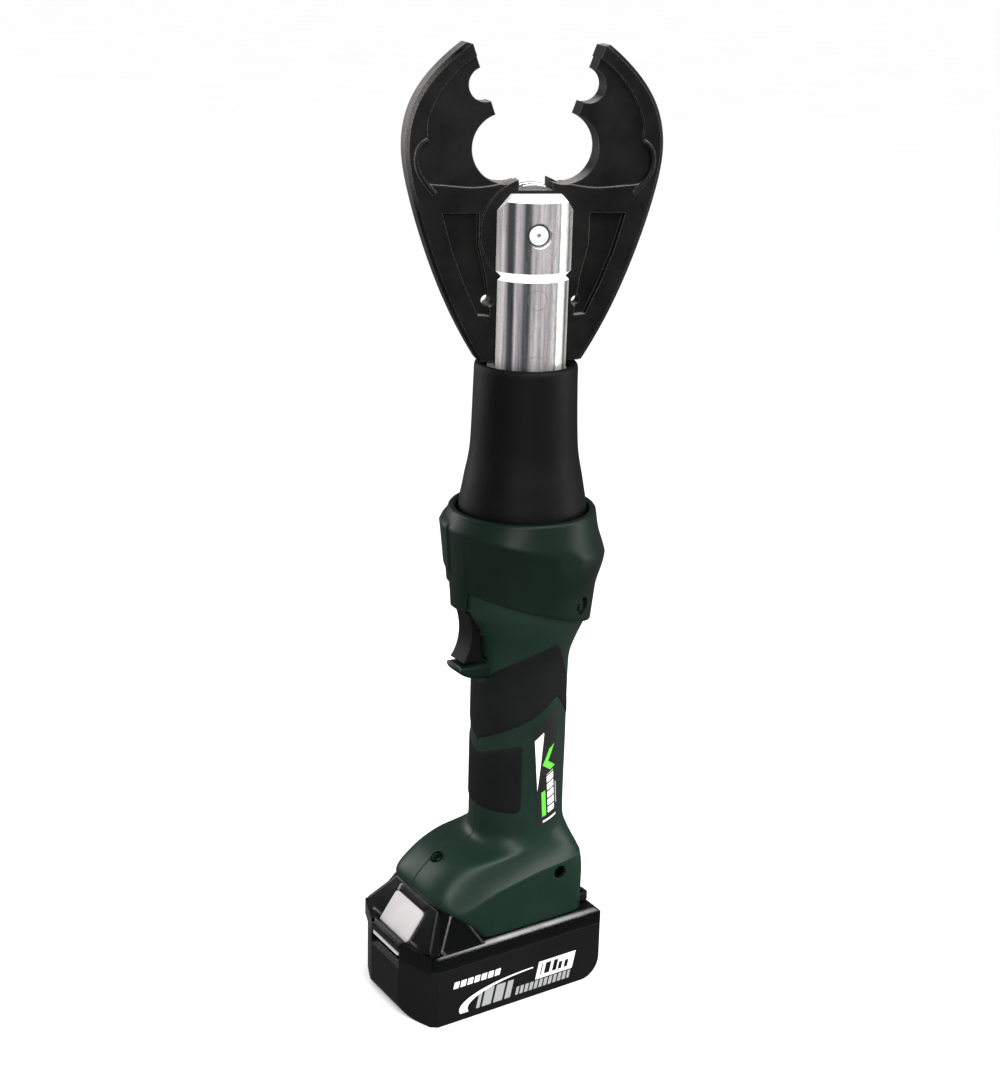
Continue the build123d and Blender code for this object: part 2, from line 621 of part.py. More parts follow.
def cam_points():
    """Cam of the right jaw: the path of the roller's rim, with a clearance."""
    reach = ROLLER_RADIUS + CAM_CLEARANCE
    spots = []
    for step in range(9):
        travel = RAM_TRAVEL * step / 8
        x, z = roller_centre(travel)
        ahead_x, ahead_z = roller_centre(travel + 0.01)
        heading = math.atan2(ahead_z - z, ahead_x - x) - math.pi / 2
        spots.append((x, z, heading))
    first = spots[0]
    points = []
    for part in (0.0, 0.35, 0.7):
        angle = math.radians(OPEN_ANGLE) * (1 - part) + first[2] * part
        points.append((first[0] + reach * math.cos(angle), first[1] + reach * math.sin(angle)))
    for x, z, heading in spots:
        points.append((x + reach * math.cos(heading), z + reach * math.sin(heading)))
    return points


JAW_BACK = [(47.2, -51.3), (52.0, -18.3), (52.8, 9.0), (50.9, 40.0), (46.2, 61.5), (35.8, 78.2),
            (19.0, 90.1), (2.5, 96.5)]
TAIL_FOOT = (36.3, -55.4)
CRIMP_EDGE = [(9.5, 25.6), (18.0, 23.4), (31.0, 21.8), (47.0, 22.9), (54.5, 24.4), (58.6, 32.2),
              (58.0, 39.6), (53.9, 44.2), (54.0, 49.2), (51.8, 59.0), (46.1, 69.2), (38.7, 77.6),
              (29.0, 84.5)]
POCKET_EDGE = [(28.0, 9.5), (46.2, 9.5), (41.2, -8.5), (34.6, -25.6), (27.4, -41.0), (21.5, -41.5),
               (24.0, -22.0), (28.0, -6.0)]
RIB_LINE = [(53.9, 44.2), (58.4, 39.6), (58.9, 32.0), (54.9, 24.4), (50.0, 18.8)]


def jaw_blank():
    """Right jaw's full-thickness plate, closed."""
    cam = cam_points()
    wires = [
        Spline(*lifted(JAW_BACK)),
        Polyline(*lifted([JAW_BACK[-1], (MATING_GAP, TIP_DISTANCE), (MATING_GAP, -20.0), (10.5, -20.0),
                          cam[-1]])),
        Spline(*lifted(cam)),
        Polyline(*lifted([cam[0], TAIL_FOOT, JAW_BACK[0]])),
    ]
    plate = through(wires, JAW_HALF_THICK)
    return chamfer(plate.edges().sort_by(SortBy.LENGTH)[-2:], 1.8)


def rib(side):
    """Curved bead beside the crimping field."""
    line = Spline(*lifted(RIB_LINE))
    profile = Plane(origin=line @ 0, z_dir=line % 0) * Circle(1.3)
    return Pos(0, side * (JAW_HALF_THICK - 0.3), 0) * sweep(profile, path=line)


def right_jaw():
    """Right jaw at its open rest angle; its half of the hub lies in front."""
    plate = jaw_blank()
    plate = plate + rod_y(HUB_RADIUS, -JAW_HALF_THICK, -LAP_GAP, 0, PIN_Z)
    plate = plate - rod_y(HUB_RADIUS + LAP_CLEARANCE, -LAP_GAP, 20, 0, PIN_Z)
    plate = plate - rod_y(BIG_GROOVE_RADIUS, -20, 20, 0, PIN_Z + BIG_GROOVE_DISTANCE)
    plate = plate - rod_y(SMALL_GROOVE_RADIUS, -20, 20, 0, PIN_Z + SMALL_GROOVE_DISTANCE)
    plate = plate - rod_y(PIN_RADIUS + RUNNING, -20, 20, 0, PIN_Z)
    plate = about_pin(plate, -OPEN_ANGLE)
    inner_edge = [CRIMP_EDGE[-1], (10, 90), (-8, 40), CRIMP_EDGE[0]]
    field = make_face([Spline(*lifted(CRIMP_EDGE)), Polyline(*lifted(inner_edge))])
    pocket = make_face(Polyline(*lifted(POCKET_EDGE), close=True))
    for side in (-1, 1):
        away = (0, side, 0)
        cut = Pos(0, side * (JAW_HALF_THICK - CRIMP_RECESS), 0) * extrude(field, amount=10, dir=away)
        plate = plate - cut
        deep = Pos(0, side * (JAW_HALF_THICK - POCKET_RECESS), 0) * extrude(pocket, amount=10, dir=away)
        plate = plate - deep
        plate = plate + rib(side)
    plate = plate - rod_y(2.7, -20, 20, 22.6, PIN_Z - 34.2)
    return plate - box(-8.6, 8.6, -20, 20, PIN_Z + 20.6, PIN_Z + 40)


def spring_hook():
    """End of the jaw return spring that lies in the notch of the right jaw's hub."""
    radius = 22.4
    turns = [math.radians(angle) for angle in (-14, -4, 6, 15)]
    arc = [(radius * math.sin(turn), radius * math.cos(turn)) for turn in turns]
    line = Spline(*lifted(arc))
    profile = Plane(origin=line @ 0, z_dir=line % 0) * Circle(0.9)
    return Pos(0, -3.4, 0) * sweep(profile, path=line)


def clevis():
    """Slotted steel yoke that holds the jaws, on a round base."""
    low = cylinder(CLEVIS_LOW_RADIUS, CLEVIS_BASE_Z, PIN_Z - 21.4)
    high = cylinder(CLEVIS_RADIUS, PIN_Z - 21.4, CLEVIS_TOP_Z)
    body = low + high
    body = body - outline_rz([(CLEVIS_RADIUS - 2.4, PIN_Z - 21.4), (CLEVIS_RADIUS + 1, PIN_Z - 17.6),
                              (CLEVIS_RADIUS + 1, PIN_Z - 25.2)])
    for side in (-1, 1):
        corner = [(side * 12.2, 19.5), (side * 25, 19.5), (side * 25, 5.4), (side * 19.0, 11.2)]
        body = body - through(Polyline(*lifted(corner), close=True), 40)
    body = body - outline_rz([(17.9, CLEVIS_TOP_Z), (30, CLEVIS_TOP_Z), (30, CLEVIS_TOP_Z - 12.1)])
    body = body - box(-40, 40, -SLOT_HALF, SLOT_HALF, SLOT_FLOOR_Z, PIN_Z + 40)
    body = body - cylinder(16.4, CLEVIS_BASE_Z - 1, SLOT_FLOOR_Z + 0.5)
    body = body - cylinder(ROD_RADIUS + 0.3, SLOT_FLOOR_Z, ROD_TOP_Z + RAM_TRAVEL + 0.5)
    body = body - rod_y(PIN_RADIUS + 0.02, -40, 40, 0, PIN_Z)
    body = body - rod_y(6.3, -40, -18.2, 0, PIN_Z) - rod_y(6.3, 18.2, 40, 0, PIN_Z)
    for z in (-31.7, -64.8):
        for side in (-1, 1):
            body = body - rod_y(4.9, *sorted((side * 10.5, side * 40)), 0, PIN_Z + z)
    return body


def neck_sleeve():
    """Soft sleeve over the neck, flared towards the collar."""
    bore = CLEVIS_LOW_RADIUS + 0.5
    lines = [
        Line((bore, 0, SLEEVE_TOP_Z - 2.5), (bore + 2, 0, SLEEVE_TOP_Z - 0.6)),
        Line((bore + 2, 0, SLEEVE_TOP_Z - 0.6), (25.6, 0, SLEEVE_TOP_Z - 0.1)),
        Spline((25.6, 0, SLEEVE_TOP_Z - 0.1), (26.6, 0, SLEEVE_TOP_Z - 1.6), (27.1, 0, 325),
               (27.9, 0, 304), (30.6, 0, 290), (33.2, 0, 275), (33.4, 0, SLEEVE_LOW_Z)),
        Polyline((33.4, 0, SLEEVE_LOW_Z), (SWIVEL_RADIUS, 0, SLEEVE_LOW_Z), (SWIVEL_RADIUS, 0, 338),
                 (bore, 0, 338), (bore, 0, SLEEVE_TOP_Z - 2.5)),
    ]
    return revolve(make_face(lines), Axis.Z)


def head_parts():
    jaw = right_jaw()
    write("jaw_right", in_head(jaw))
    write("jaw_left", in_head(Rot(0, 0, 180) * jaw))
    hook = spring_hook()
    write("spring_hook_right", in_head(hook))
    write("spring_hook_left", in_head(Rot(0, 0, 180) * hook))
    write("clevis", in_head(clevis()))
    pin = rod_y(PIN_RADIUS, -18.4, 18.4, 0, PIN_Z)
    for side in (-1, 1):
        pin = pin - Pos(0, side * 18.4, PIN_Z) * Rot(90, 0, 0) * Cone(1.4, 0.4, 1.6)
    write("jaw_pin", in_head(pin))
    plugs = []
    for z in (-31.7, -64.8):
        for side in (-1, 1):
            plug = rod_y(4.9, *sorted((side * 10.5, side * 30)), 0, PIN_Z + z)
            plugs.append(plug & cylinder(CLEVIS_LOW_RADIUS, 330, PIN_Z))
    write("cheek_plugs", in_head(plugs))
    write("neck_sleeve", in_head(neck_sleeve()))
    barrel = cylinder(SWIVEL_RADIUS, 255, CLEVIS_BASE_Z) - cylinder(PISTON_RADIUS + RUNNING, 258, 326)
    barrel = barrel - cylinder(ROD_RADIUS + RUNNING, 325, 340)
    barrel = barrel + cylinder(12.0, 237, 256) - cylinder(3.0, 230, 259)
    write("hydraulic_cylinder", in_head(barrel))
    swivel = tube(SWIVEL_RADIUS + 11, SWIVEL_RADIUS + RUNNING, 256, 264.5)
    write("swivel_bearing", swivel)


def ram_parts():
    roller_z = PIN_Z + ROLLER_REST
    rod = cylinder(ROD_RADIUS, 272, ROD_TOP_Z)
    write("piston_rod", in_head(rod))
    piston = cylinder(PISTON_RADIUS, 260, 272)
    piston = piston - tube(20, 16.4, 264.5, 267.5)
    write("piston", in_head(piston))
    write("piston_seal", in_head(tube(PISTON_RADIUS, 16.4, 264.5, 267.5)))
    fork = box(-FORK_HALF_WIDTH, FORK_HALF_WIDTH, -JAW_HALF_THICK, JAW_HALF_THICK, ROD_TOP_Z, roller_z)
    ear = FORK_EAR - 0.2
    fork = fork + box(-ROLLER_X, ROLLER_X, -JAW_HALF_THICK, JAW_HALF_THICK, roller_z, roller_z + ear)
    fork = fork - box(-40, 40, -5.7, 5.7, roller_z - ROLLER_RADIUS - 0.6, roller_z + 20)
    for side in (-1, 1):
        fork = fork + rod_y(ear, -JAW_HALF_THICK, -5.7, side * ROLLER_X, roller_z)
        fork = fork + rod_y(ear, 5.7, JAW_HALF_THICK, side * ROLLER_X, roller_z)
    for side in (-1, 1):
        fork = fork - rod_y(2.5, -20, 20, side * ROLLER_X, roller_z)
    write("push_fork", in_head(fork))
    pins = [rod_y(2.5, -JAW_HALF_THICK, JAW_HALF_THICK, s * ROLLER_X, roller_z) for s in (-1, 1)]
    write("roller_pins", in_head(pins))
    for name, side in (("roller_left", -1), ("roller_right", 1)):
        roller = rod_y(ROLLER_RADIUS, -5.5, 5.5, side * ROLLER_X, roller_z)
        roller = roller - rod_y(2.5 + RUNNING, -20, 20, side * ROLLER_X, roller_z)
        write(name, in_head(roller))
    helix = Helix(pitch=6.6, height=49.5, radius=14.0)
    profile = Plane(origin=helix @ 0, z_dir=helix % 0) * RegularPolygon(1.3, 8)
    write("ram_spring", in_head(Pos(0, 0, 274.2) * sweep(profile, path=helix)))


os.makedirs("parts", exist_ok=True)
battery_parts()
housing_parts()
drive_parts()
trigger_parts()
electric_parts()
head_parts()
ram_parts()
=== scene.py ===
import bpy
import bmesh
import json
import math
from mathutils import Matrix, Vector


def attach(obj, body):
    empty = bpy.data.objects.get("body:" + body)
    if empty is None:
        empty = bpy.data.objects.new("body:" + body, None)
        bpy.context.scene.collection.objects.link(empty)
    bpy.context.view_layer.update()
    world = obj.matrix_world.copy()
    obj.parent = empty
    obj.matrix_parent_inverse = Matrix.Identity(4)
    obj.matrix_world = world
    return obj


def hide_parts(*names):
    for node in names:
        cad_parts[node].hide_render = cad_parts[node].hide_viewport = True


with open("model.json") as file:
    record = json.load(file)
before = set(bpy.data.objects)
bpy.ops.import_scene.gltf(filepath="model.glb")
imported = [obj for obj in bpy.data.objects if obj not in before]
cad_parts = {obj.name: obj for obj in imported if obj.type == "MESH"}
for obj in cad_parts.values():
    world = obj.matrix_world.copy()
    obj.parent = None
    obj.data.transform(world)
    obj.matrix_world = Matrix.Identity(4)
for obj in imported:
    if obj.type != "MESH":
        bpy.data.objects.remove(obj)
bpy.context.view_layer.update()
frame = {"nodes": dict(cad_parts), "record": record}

MM = 0.001
HEAD_YAW = math.radians(70)
PIN_Z = 415.3
PLUG_DROPS = (31.7, 64.8)    # the yoke's two flush plugs, below the pin
PLUG_RADIUS = 4.9


# ------------------------------------------------------------ curves
def lookup(table, x):
    """Smooth curve through the rows (x, value, ...) of a table, as a list of values."""
    x = min(max(x, table[0][0]), table[-1][0])
    at = 0
    while at < len(table) - 2 and x > table[at + 1][0]:
        at += 1
    low, high = table[at], table[at + 1]
    span = high[0] - low[0]
    t = (x - low[0]) / span
    before = table[max(at - 1, 0)]
    after = table[min(at + 2, len(table) - 1)]
    result = []
    for k in range(1, len(low)):
        slope_low = (high[k] - before[k]) / (high[0] - before[0]) * span
        slope_high = (after[k] - low[k]) / (after[0] - low[0]) * span
        a = 2 * t ** 3 - 3 * t ** 2 + 1
        b = t ** 3 - 2 * t ** 2 + t
        c = -2 * t ** 3 + 3 * t ** 2
        d = t ** 3 - t ** 2
        result.append(a * low[k] + b * slope_low + c * high[k] + d * slope_high)
    return result


def line_up(table, x):
    """Straight runs between the rows (x, value) of a table."""
    x = min(max(x, table[0][0]), table[-1][0])
    for low, high in zip(table, table[1:]):
        if x <= high[0]:
            return low[1] + (high[1] - low[1]) * (x - low[0]) / (high[0] - low[0])
    return table[-1][1]


def spread(low, high, count):
    """Evenly spaced numbers, both ends included."""
    return [low + (high - low) * k / (count - 1) for k in range(count)]


def smooth(t):
    t = min(max(t, 0.0), 1.0)
    return t * t * (3 - 2 * t)


# ------------------------------------------------------------ meshes
def add_mesh(name, points, faces, material, body, angle=None):
    """New object from points in millimetres, shaded smooth, riding on a body."""
    mesh = bpy.data.meshes.new(name)
    mesh.from_pydata([Vector(p) * MM for p in points], [], faces)
    mesh.validate()
    edit = bmesh.new()
    edit.from_mesh(mesh)
    bmesh.ops.remove_doubles(edit, verts=edit.verts, dist=2e-6)
    bmesh.ops.recalc_face_normals(edit, faces=edit.faces)
    edit.to_mesh(mesh)
    edit.free()
    mesh.shade_smooth()
    if angle:
        mesh.set_sharp_from_angle(angle=math.radians(angle))
    piece = bpy.data.objects.new(name, mesh)
    bpy.context.scene.collection.objects.link(piece)
    mesh.materials.append(material)
    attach(piece, body)
    return piece


def grid_faces(rows, columns, wrap=False):
    """Quads of a grid stored row by row."""
    faces = []
    across = columns if wrap else columns - 1
    for r in range(rows - 1):
        for c in range(across):
            a = r * columns + c
            b = r * columns + (c + 1) % columns
            faces.append((a, b, b + columns, a + columns))
    return faces


def cutter(name, points, faces):
    """Closed mesh to cut with, from points in millimetres."""
    mesh = bpy.data.meshes.new(name)
    mesh.from_pydata([Vector(p) * MM for p in points], [], faces)
    tool = bpy.data.objects.new(name, mesh)
    edit = bmesh.new()
    edit.from_mesh(mesh)
    bmesh.ops.recalc_face_normals(edit, faces=edit.faces)
    edit.to_mesh(mesh)
    edit.free()
    bpy.context.scene.collection.objects.link(tool)
    return tool


def round_cutter(centre, direction, radius, low, high):
    """Cylinder to cut with, along a direction."""
    axis = Vector(direction).normalized()
    side = axis.orthogonal().normalized()
    other = axis.cross(side)
    points = []
    for reach in (low, high):
        for k in range(40):
            turn = 2 * math.pi * k / 40
            ring = side * math.cos(turn) * radius + other * math.sin(turn) * radius
            points.append(Vector(centre) + axis * reach + ring)
    faces = grid_faces(2, 40, wrap=True)
    faces += [tuple(range(40)), tuple(range(79, 39, -1))]
    return cutter("cut", points, faces)


def box_cutter(low, high):
    xs, ys, zs = zip(low, high)
    corners = [(x, y, z) for z in zs for y in ys for x in xs]
    faces = [(0, 1, 3, 2), (4, 6, 7, 5), (0, 4, 5, 1), (2, 3, 7, 6), (0, 2, 6, 4), (1, 5, 7, 3)]
    return cutter("cut", corners, faces)


def settle(piece, tools=()):
    """Apply the piece's modifiers, after cutting it with tools, and drop the tools."""
    for tool in tools:
        cut = piece.modifiers.new("cut", "BOOLEAN")
        cut.operation = "DIFFERENCE"
        cut.solver = "EXACT"
        cut.object = tool
    bpy.context.view_layer.update()
    graph = bpy.context.evaluated_depsgraph_get()
    old = piece.data
    piece.data = bpy.data.meshes.new_from_object(piece.evaluated_get(graph))
    piece.modifiers.clear()
    bpy.data.meshes.remove(old)
    for tool in tools:
        bpy.data.objects.remove(tool)
    piece.data.shade_smooth()
    piece.data.set_sharp_from_angle(angle=math.radians(38))


# ------------------------------------------------------------ shader building
class Shader:
    """Small builder around one material's nodes."""

    def __init__(self, name, **settings):
        self.material = bpy.data.materials.new(name)
        self.material.use_nodes = True
        self.tree = self.material.node_tree
        self.bsdf = self.tree.nodes["Principled BSDF"]
        for key, value in settings.items():
            self.bsdf.inputs[key.replace("_", " ")].default_value = value
        self.coords = self.tree.nodes.new("ShaderNodeTexCoord").outputs["Object"]

    def plug(self, value, socket):
        if isinstance(value, bpy.types.NodeSocket):
            self.tree.links.new(value, socket)
        else:
            socket.default_value = value

    def math(self, operation, *values, clamp=False):
        node = self.tree.nodes.new("ShaderNodeMath")
        node.operation = operation
        node.use_clamp = clamp
        for value, socket in zip(values, node.inputs):
            self.plug(value, socket)
        return node.outputs[0]

    def vector(self, operation, *values):
        node = self.tree.nodes.new("ShaderNodeVectorMath")
        node.operation = operation
        for value, socket in zip(values, node.inputs):
            self.plug(value, socket)
        return node.outputs["Value" if operation == "DOT_PRODUCT" else "Vector"]

    def split(self, vector):
        node = self.tree.nodes.new("ShaderNodeSeparateXYZ")
        self.plug(vector, node.inputs[0])
        return node.outputs

    def noise(self, scale, detail=3.0, rough=0.55, stretch=None, coords=None):
        node = self.tree.nodes.new("ShaderNodeTexNoise")
        node.inputs["Scale"].default_value = scale
        node.inputs["Detail"].default_value = detail
        node.inputs["Roughness"].default_value = rough
        coords = coords or self.coords
        if stretch:
            coords = self.vector("MULTIPLY", coords, stretch)
        self.plug(coords, node.inputs["Vector"])
        return node.outputs["Fac"]

    def ramp(self, value, *stops):
        """Colour ramp: stops of (position, colour)."""
        node = self.tree.nodes.new("ShaderNodeValToRGB")
        self.plug(value, node.inputs[0])
        bar = node.color_ramp.elements
        while len(bar) < len(stops):
            bar.new(0.5)
        for spot, (position, colour) in zip(bar, stops):
            spot.position = position
            spot.color = (*colour, 1.0)
        return node.outputs["Color"]

    def span(self, value, low, high, new_low, new_high):
        node = self.tree.nodes.new("ShaderNodeMapRange")
        for item, socket in zip((value, low, high, new_low, new_high), node.inputs):
            self.plug(item, socket)
        return node.outputs[0]

    def mix(self, factor, first, second):
        node = self.tree.nodes.new("ShaderNodeMix")
        node.data_type = "RGBA"
        self.plug(factor, node.inputs["Factor"])
        for item, socket in ((first, node.inputs[6]), (second, node.inputs[7])):
            if isinstance(item, tuple):
                item = (*item, 1.0)
            self.plug(item, socket)
        return node.outputs[2]

    def edges(self, radius, sharp=0.85):
        """Rounded normal and a mask of edges."""
        bevel = self.tree.nodes.new("ShaderNodeBevel")
        bevel.samples = 6
        bevel.inputs["Radius"].default_value = radius
        normal = self.tree.nodes.new("ShaderNodeNewGeometry").outputs["Normal"]
        straight = self.vector("DOT_PRODUCT", bevel.outputs[0], normal)
        return bevel.outputs[0], self.span(straight, 1.0, sharp, 0.0, 1.0)

    def bump(self, height, strength, distance, normal=None):
        node = self.tree.nodes.new("ShaderNodeBump")
        node.inputs["Strength"].default_value = strength
        node.inputs["Distance"].default_value = distance
        self.plug(height, node.inputs["Height"])
        if normal:
            self.plug(normal, node.inputs["Normal"])
        self.plug(node.outputs[0], self.bsdf.inputs["Normal"])

    def base(self, colour):
        self.plug(colour, self.bsdf.inputs["Base Color"])

    def rough(self, value):
        self.plug(value, self.bsdf.inputs["Roughness"])


def shade(colour, amount):
    """Darker or lighter version of a colour."""
    return tuple(min(1.0, part * amount) for part in colour)


def moulded(name, colour, roughness, specular, grain=0.12, edge=1.6, bevel=0.0006):
    """Moulded plastic: spark-eroded grain, uneven gloss, slightly paler edges."""
    look = Shader(name, Specular_IOR_Level=specular)
    cloud = look.noise(26.0, 4.0)
    grit = look.noise(2600.0, 2.0, 0.7)
    tint = look.ramp(cloud, (0.3, shade(colour, 0.86)), (0.7, shade(colour, 1.16)))
    normal, edge_mask = look.edges(bevel)
    look.base(look.mix(look.math("MULTIPLY", edge_mask, 0.5), tint, shade(colour, edge)))
    look.rough(look.span(cloud, 0.3, 0.7, roughness - 0.05, roughness + 0.06))
    look.bump(grit, grain, 0.0002, normal)
    return look


def turned_metal(name, colour, roughness):
    """Turned or ground metal with fine rings."""
    look = Shader(name, Metallic=1.0, Anisotropic=0.35)
    rings = look.noise(1.0, 3.0, 0.6, stretch=(60.0, 60.0, 2250.0))
    cloud = look.noise(70.0, 3.0)
    look.base(look.ramp(cloud, (0.3, shade(colour, 0.82)), (0.7, shade(colour, 1.08))))
    look.rough(look.span(rings, 0.3, 0.7, roughness - 0.06, roughness + 0.1))
    normal, _ = look.edges(0.0003)
    look.bump(rings, 0.12, 0.00005, normal)
    return look.material


def simple(name, colour, roughness, metallic=0.0, specular=0.4, scale=300.0):
    """Inner pieces: tinted, with a fine surface."""
    look = Shader(name, Metallic=metallic, Specular_IOR_Level=specular)
    cloud = look.noise(scale, 4.0)
    look.base(look.ramp(cloud, (0.3, shade(colour, 0.75)), (0.7, shade(colour, 1.2))))
    look.rough(look.span(cloud, 0.3, 0.7, roughness - 0.08, roughness + 0.08))
    look.bump(cloud, 0.15, 0.0001)
    return look.material


def green_plastic(name, colour, specular):
    return moulded(name, colour, 0.42, specular, grain=0.16, edge=2.2).material


def rubber(name, colour, roughness, pebble=0.35):
    """Overmoulded rubber: fine pebble, dusty variation, soft sheen."""
    look = Shader(name, Specular_IOR_Level=0.16)
    cloud = look.noise(34.0, 5.0, 0.65)
    fine = look.noise(3800.0, 2.0, 0.6)
    look.base(look.ramp(cloud, (0.3, shade(colour, 0.82)), (0.72, shade(colour, 1.22))))
    look.rough(look.span(cloud, 0.3, 0.7, roughness - 0.05, roughness + 0.07))
    look.bump(fine, pebble, 0.00015)
    return look.material


def normal_parts(look):
    """The surface's direction, as x, y and z."""
    return look.split(look.tree.nodes.new("ShaderNodeNewGeometry").outputs["Normal"])


def jaw_black():
    """Black oxide on a rough blank, painted paler on one jaw's back and on faces that point up.

    The paler parts stand for light, not for rubbed metal. They go by the world's directions, so they shift
    when the head turns.
    """
    look = Shader("jaw_black", Specular_IOR_Level=0.24)
    cloud = look.noise(48.0, 6.0, 0.65)
    scale = look.noise(900.0, 4.0, 0.6)
    tint = look.ramp(cloud, (0.32, (0.0010, 0.0010, 0.0011)), (0.62, (0.0036, 0.0028, 0.0025)))
    x, y, z = look.split(look.coords)
    nx, ny, nz = normal_parts(look)
    left_x, left_y = -math.cos(HEAD_YAW), -math.sin(HEAD_YAW)
    across = look.math("MULTIPLY_ADD", nx, left_x, look.math("MULTIPLY", ny, left_y))
    beside = look.math("MULTIPLY_ADD", x, left_x, look.math("MULTIPLY", y, left_y))
    facing = look.span(across, 0.45, 0.8, 0.0, 1.0)
    back = look.math("MULTIPLY", facing, look.span(z, 0.425, 0.490, 0.0, 1.0))
    back = look.math("MULTIPLY", back, look.span(beside, 0.018, 0.022, 0.0, 1.0))
    pointing_up = look.span(nz, 0.55, 0.95, 0.0, 1.0)
    pale = look.math("MAXIMUM", look.math("MULTIPLY", back, 0.75), pointing_up)
    pale = look.math("MULTIPLY", pale, look.span(scale, 0.35, 0.6, 0.45, 1.0))
    tint = look.mix(pale, tint, (0.30, 0.29, 0.285))
    # edges painted paler: a painted highlight along the rims and groove edges, mixed with some rubbed metal
    normal, edge_mask = look.edges(0.0007, 0.8)
    edge_wear_and_highlight = look.math("MULTIPLY", edge_mask, look.span(scale, 0.35, 0.62, 0.1, 0.6))
    look.base(look.mix(edge_wear_and_highlight, tint, (0.12, 0.115, 0.11)))
    look.rough(look.span(cloud, 0.3, 0.7, 0.38, 0.56))
    look.bump(scale, 0.22, 0.00025, normal)
    return look.material


def yoke_steel():
    """Turned steel with streaks, partly painted reflection, and flecks over light and dark bands.

    The bands are painted at fixed angles round the axis in place of reflections, so they suit one view. Faces
    that point up or down are painted near white and less metallic, a painted highlight.
    """
    look = Shader("yoke_steel", Anisotropic=0.4)
    x, y, _ = look.split(look.coords)
    around = look.math("ARCTAN2", y, x)
    turn = look.span(around, -math.pi, math.pi, 0.0, 1.0)
    bright, pale = (0.80, 0.77, 0.77), (0.58, 0.54, 0.55)
    grey, dark = (0.36, 0.34, 0.35), (0.07, 0.07, 0.075)
    bands = look.ramp(turn, (0.0, pale), (0.14, grey), (0.22, bright), (0.302, bright), (0.318, grey),
                      (0.326, dark), (0.346, dark), (0.356, pale), (0.376, grey), (0.390, dark),
                      (0.408, dark), (0.420, grey), (0.436, pale), (0.50, grey), (0.515, pale),
                      (0.528, (0.10, 0.14, 0.10)), (0.54, bright), (0.565, bright),
                      (0.583, (0.12, 0.17, 0.12)), (0.61, pale), (0.72, pale), (0.8, dark),
                      (0.83, bright), (0.9, grey), (1.0, pale))
    streak = look.noise(1.0, 4.0, 0.7, stretch=(420.0, 420.0, 16.0))
    fleck = look.noise(1.0, 2.0, 0.5, stretch=(900.0, 900.0, 260.0))
    # long dark streaks: partly the steel's own streaks, partly painted reflection of dark surroundings
    streak_and_reflection_tone = look.ramp(streak, (0.38, (0.55, 0.55, 0.56)), (0.58, (1.0, 1.0, 1.0)))
    tint = look.tree.nodes.new("ShaderNodeMix")
    tint.data_type = "RGBA"
    tint.blend_type = "MULTIPLY"
    tint.inputs["Factor"].default_value = 1.0
    look.plug(bands, tint.inputs[6])
    look.plug(streak_and_reflection_tone, tint.inputs[7])
    # faces pointing up or down painted near white: a painted highlight standing for the lamps they would
    # reflect
    _, _, nz = normal_parts(look)
    painted_highlight_faces = look.span(look.math("ABSOLUTE", nz), 0.2, 0.45, 0.0, 1.0)
    colour = look.mix(painted_highlight_faces, tint.outputs[2], (0.96, 0.96, 0.95))
    for drop in PLUG_DROPS:
        away = from_axis(look, PIN_Z - drop)
        off_ring = look.math("ABSOLUTE", look.math("SUBTRACT", away, PLUG_RADIUS * MM))
        ring = look.span(off_ring, 0.1 * MM, 0.3 * MM, 0.55, 0.0)
        colour = look.mix(ring, colour, (0.16, 0.16, 0.16))
    look.base(colour)
    look.plug(look.span(painted_highlight_faces, 0.0, 1.0, 0.5, 0.05), look.bsdf.inputs["Metallic"])
    look.rough(look.span(fleck, 0.35, 0.65, 0.24, 0.4))
    look.bump(fleck, 0.1, 0.0001)
    return look.material


def from_axis(look, height):
    """Distance from a line across the yoke, square to the jaws, at a height."""
    front = (math.sin(HEAD_YAW), -math.cos(HEAD_YAW), 0.0)
    place = look.vector("SUBTRACT", look.coords, (0.0, 0.0, height * MM))
    along = look.vector("DOT_PRODUCT", place, front)
    node = look.tree.nodes.new("ShaderNodeVectorMath")
    node.operation = "SCALE"
    node.inputs[0].default_value = front
    look.plug(along, node.inputs["Scale"])
    square = look.tree.nodes.new("ShaderNodeVectorMath")
    square.operation = "LENGTH"
    look.plug(look.vector("SUBTRACT", place, node.outputs["Vector"]), square.inputs[0])
    return square.outputs["Value"]


def pin_steel():
    """Ground pin end: face painted near white as a painted reflection, dark rim and a centre drill mark."""
    look = Shader("pin_steel", Metallic=0.25)
    away = from_axis(look, PIN_Z)
    # the near-white face is a painted reflection of the lamps on the ground steel
    tint = look.ramp(look.math("DIVIDE", away, 6.0 * MM),
                     (0.0, (0.25, 0.25, 0.25)), (0.17, (0.32, 0.32, 0.32)),
                     (0.2, (0.9, 0.9, 0.88)), (0.28, (0.9, 0.9, 0.88)), (0.31, (0.6, 0.6, 0.58)),
                     (0.34, (0.9, 0.9, 0.88)), (0.76, (0.92, 0.92, 0.9)), (0.8, (0.03, 0.03, 0.03)))
    look.base(tint)
    grain = look.noise(1400.0)
    look.rough(look.span(grain, 0.3, 0.7, 0.3, 0.45))
    look.bump(grain, 0.06, 0.0001)
    return look.material


def inside(look, value, low, high):
    """1 where a value lies between two limits."""
    over = look.math("GREATER_THAN", value, low)
    return look.math("MULTIPLY", over, look.math("LESS_THAN", value, high))


def blocks(look, value, pitch, gap):
    """1 on the blocks of an evenly cut bar, 0 in the gaps between them."""
    return look.math("GREATER_THAN", look.math("FRACT", look.math("DIVIDE", value, pitch)), gap)


def in_ellipse(look, y, z, centre, half):
    """1 inside an ellipse on the battery's side."""
    across = look.math("DIVIDE", look.math("SUBTRACT", y, centre[0] * MM), half[0] * MM)
    rise = look.math("DIVIDE", look.math("SUBTRACT", z, centre[1] * MM), half[1] * MM)
    reach = look.math("ADD", look.math("MULTIPLY", across, across), look.math("MULTIPLY", rise, rise))
    return look.math("LESS_THAN", reach, 1.0)


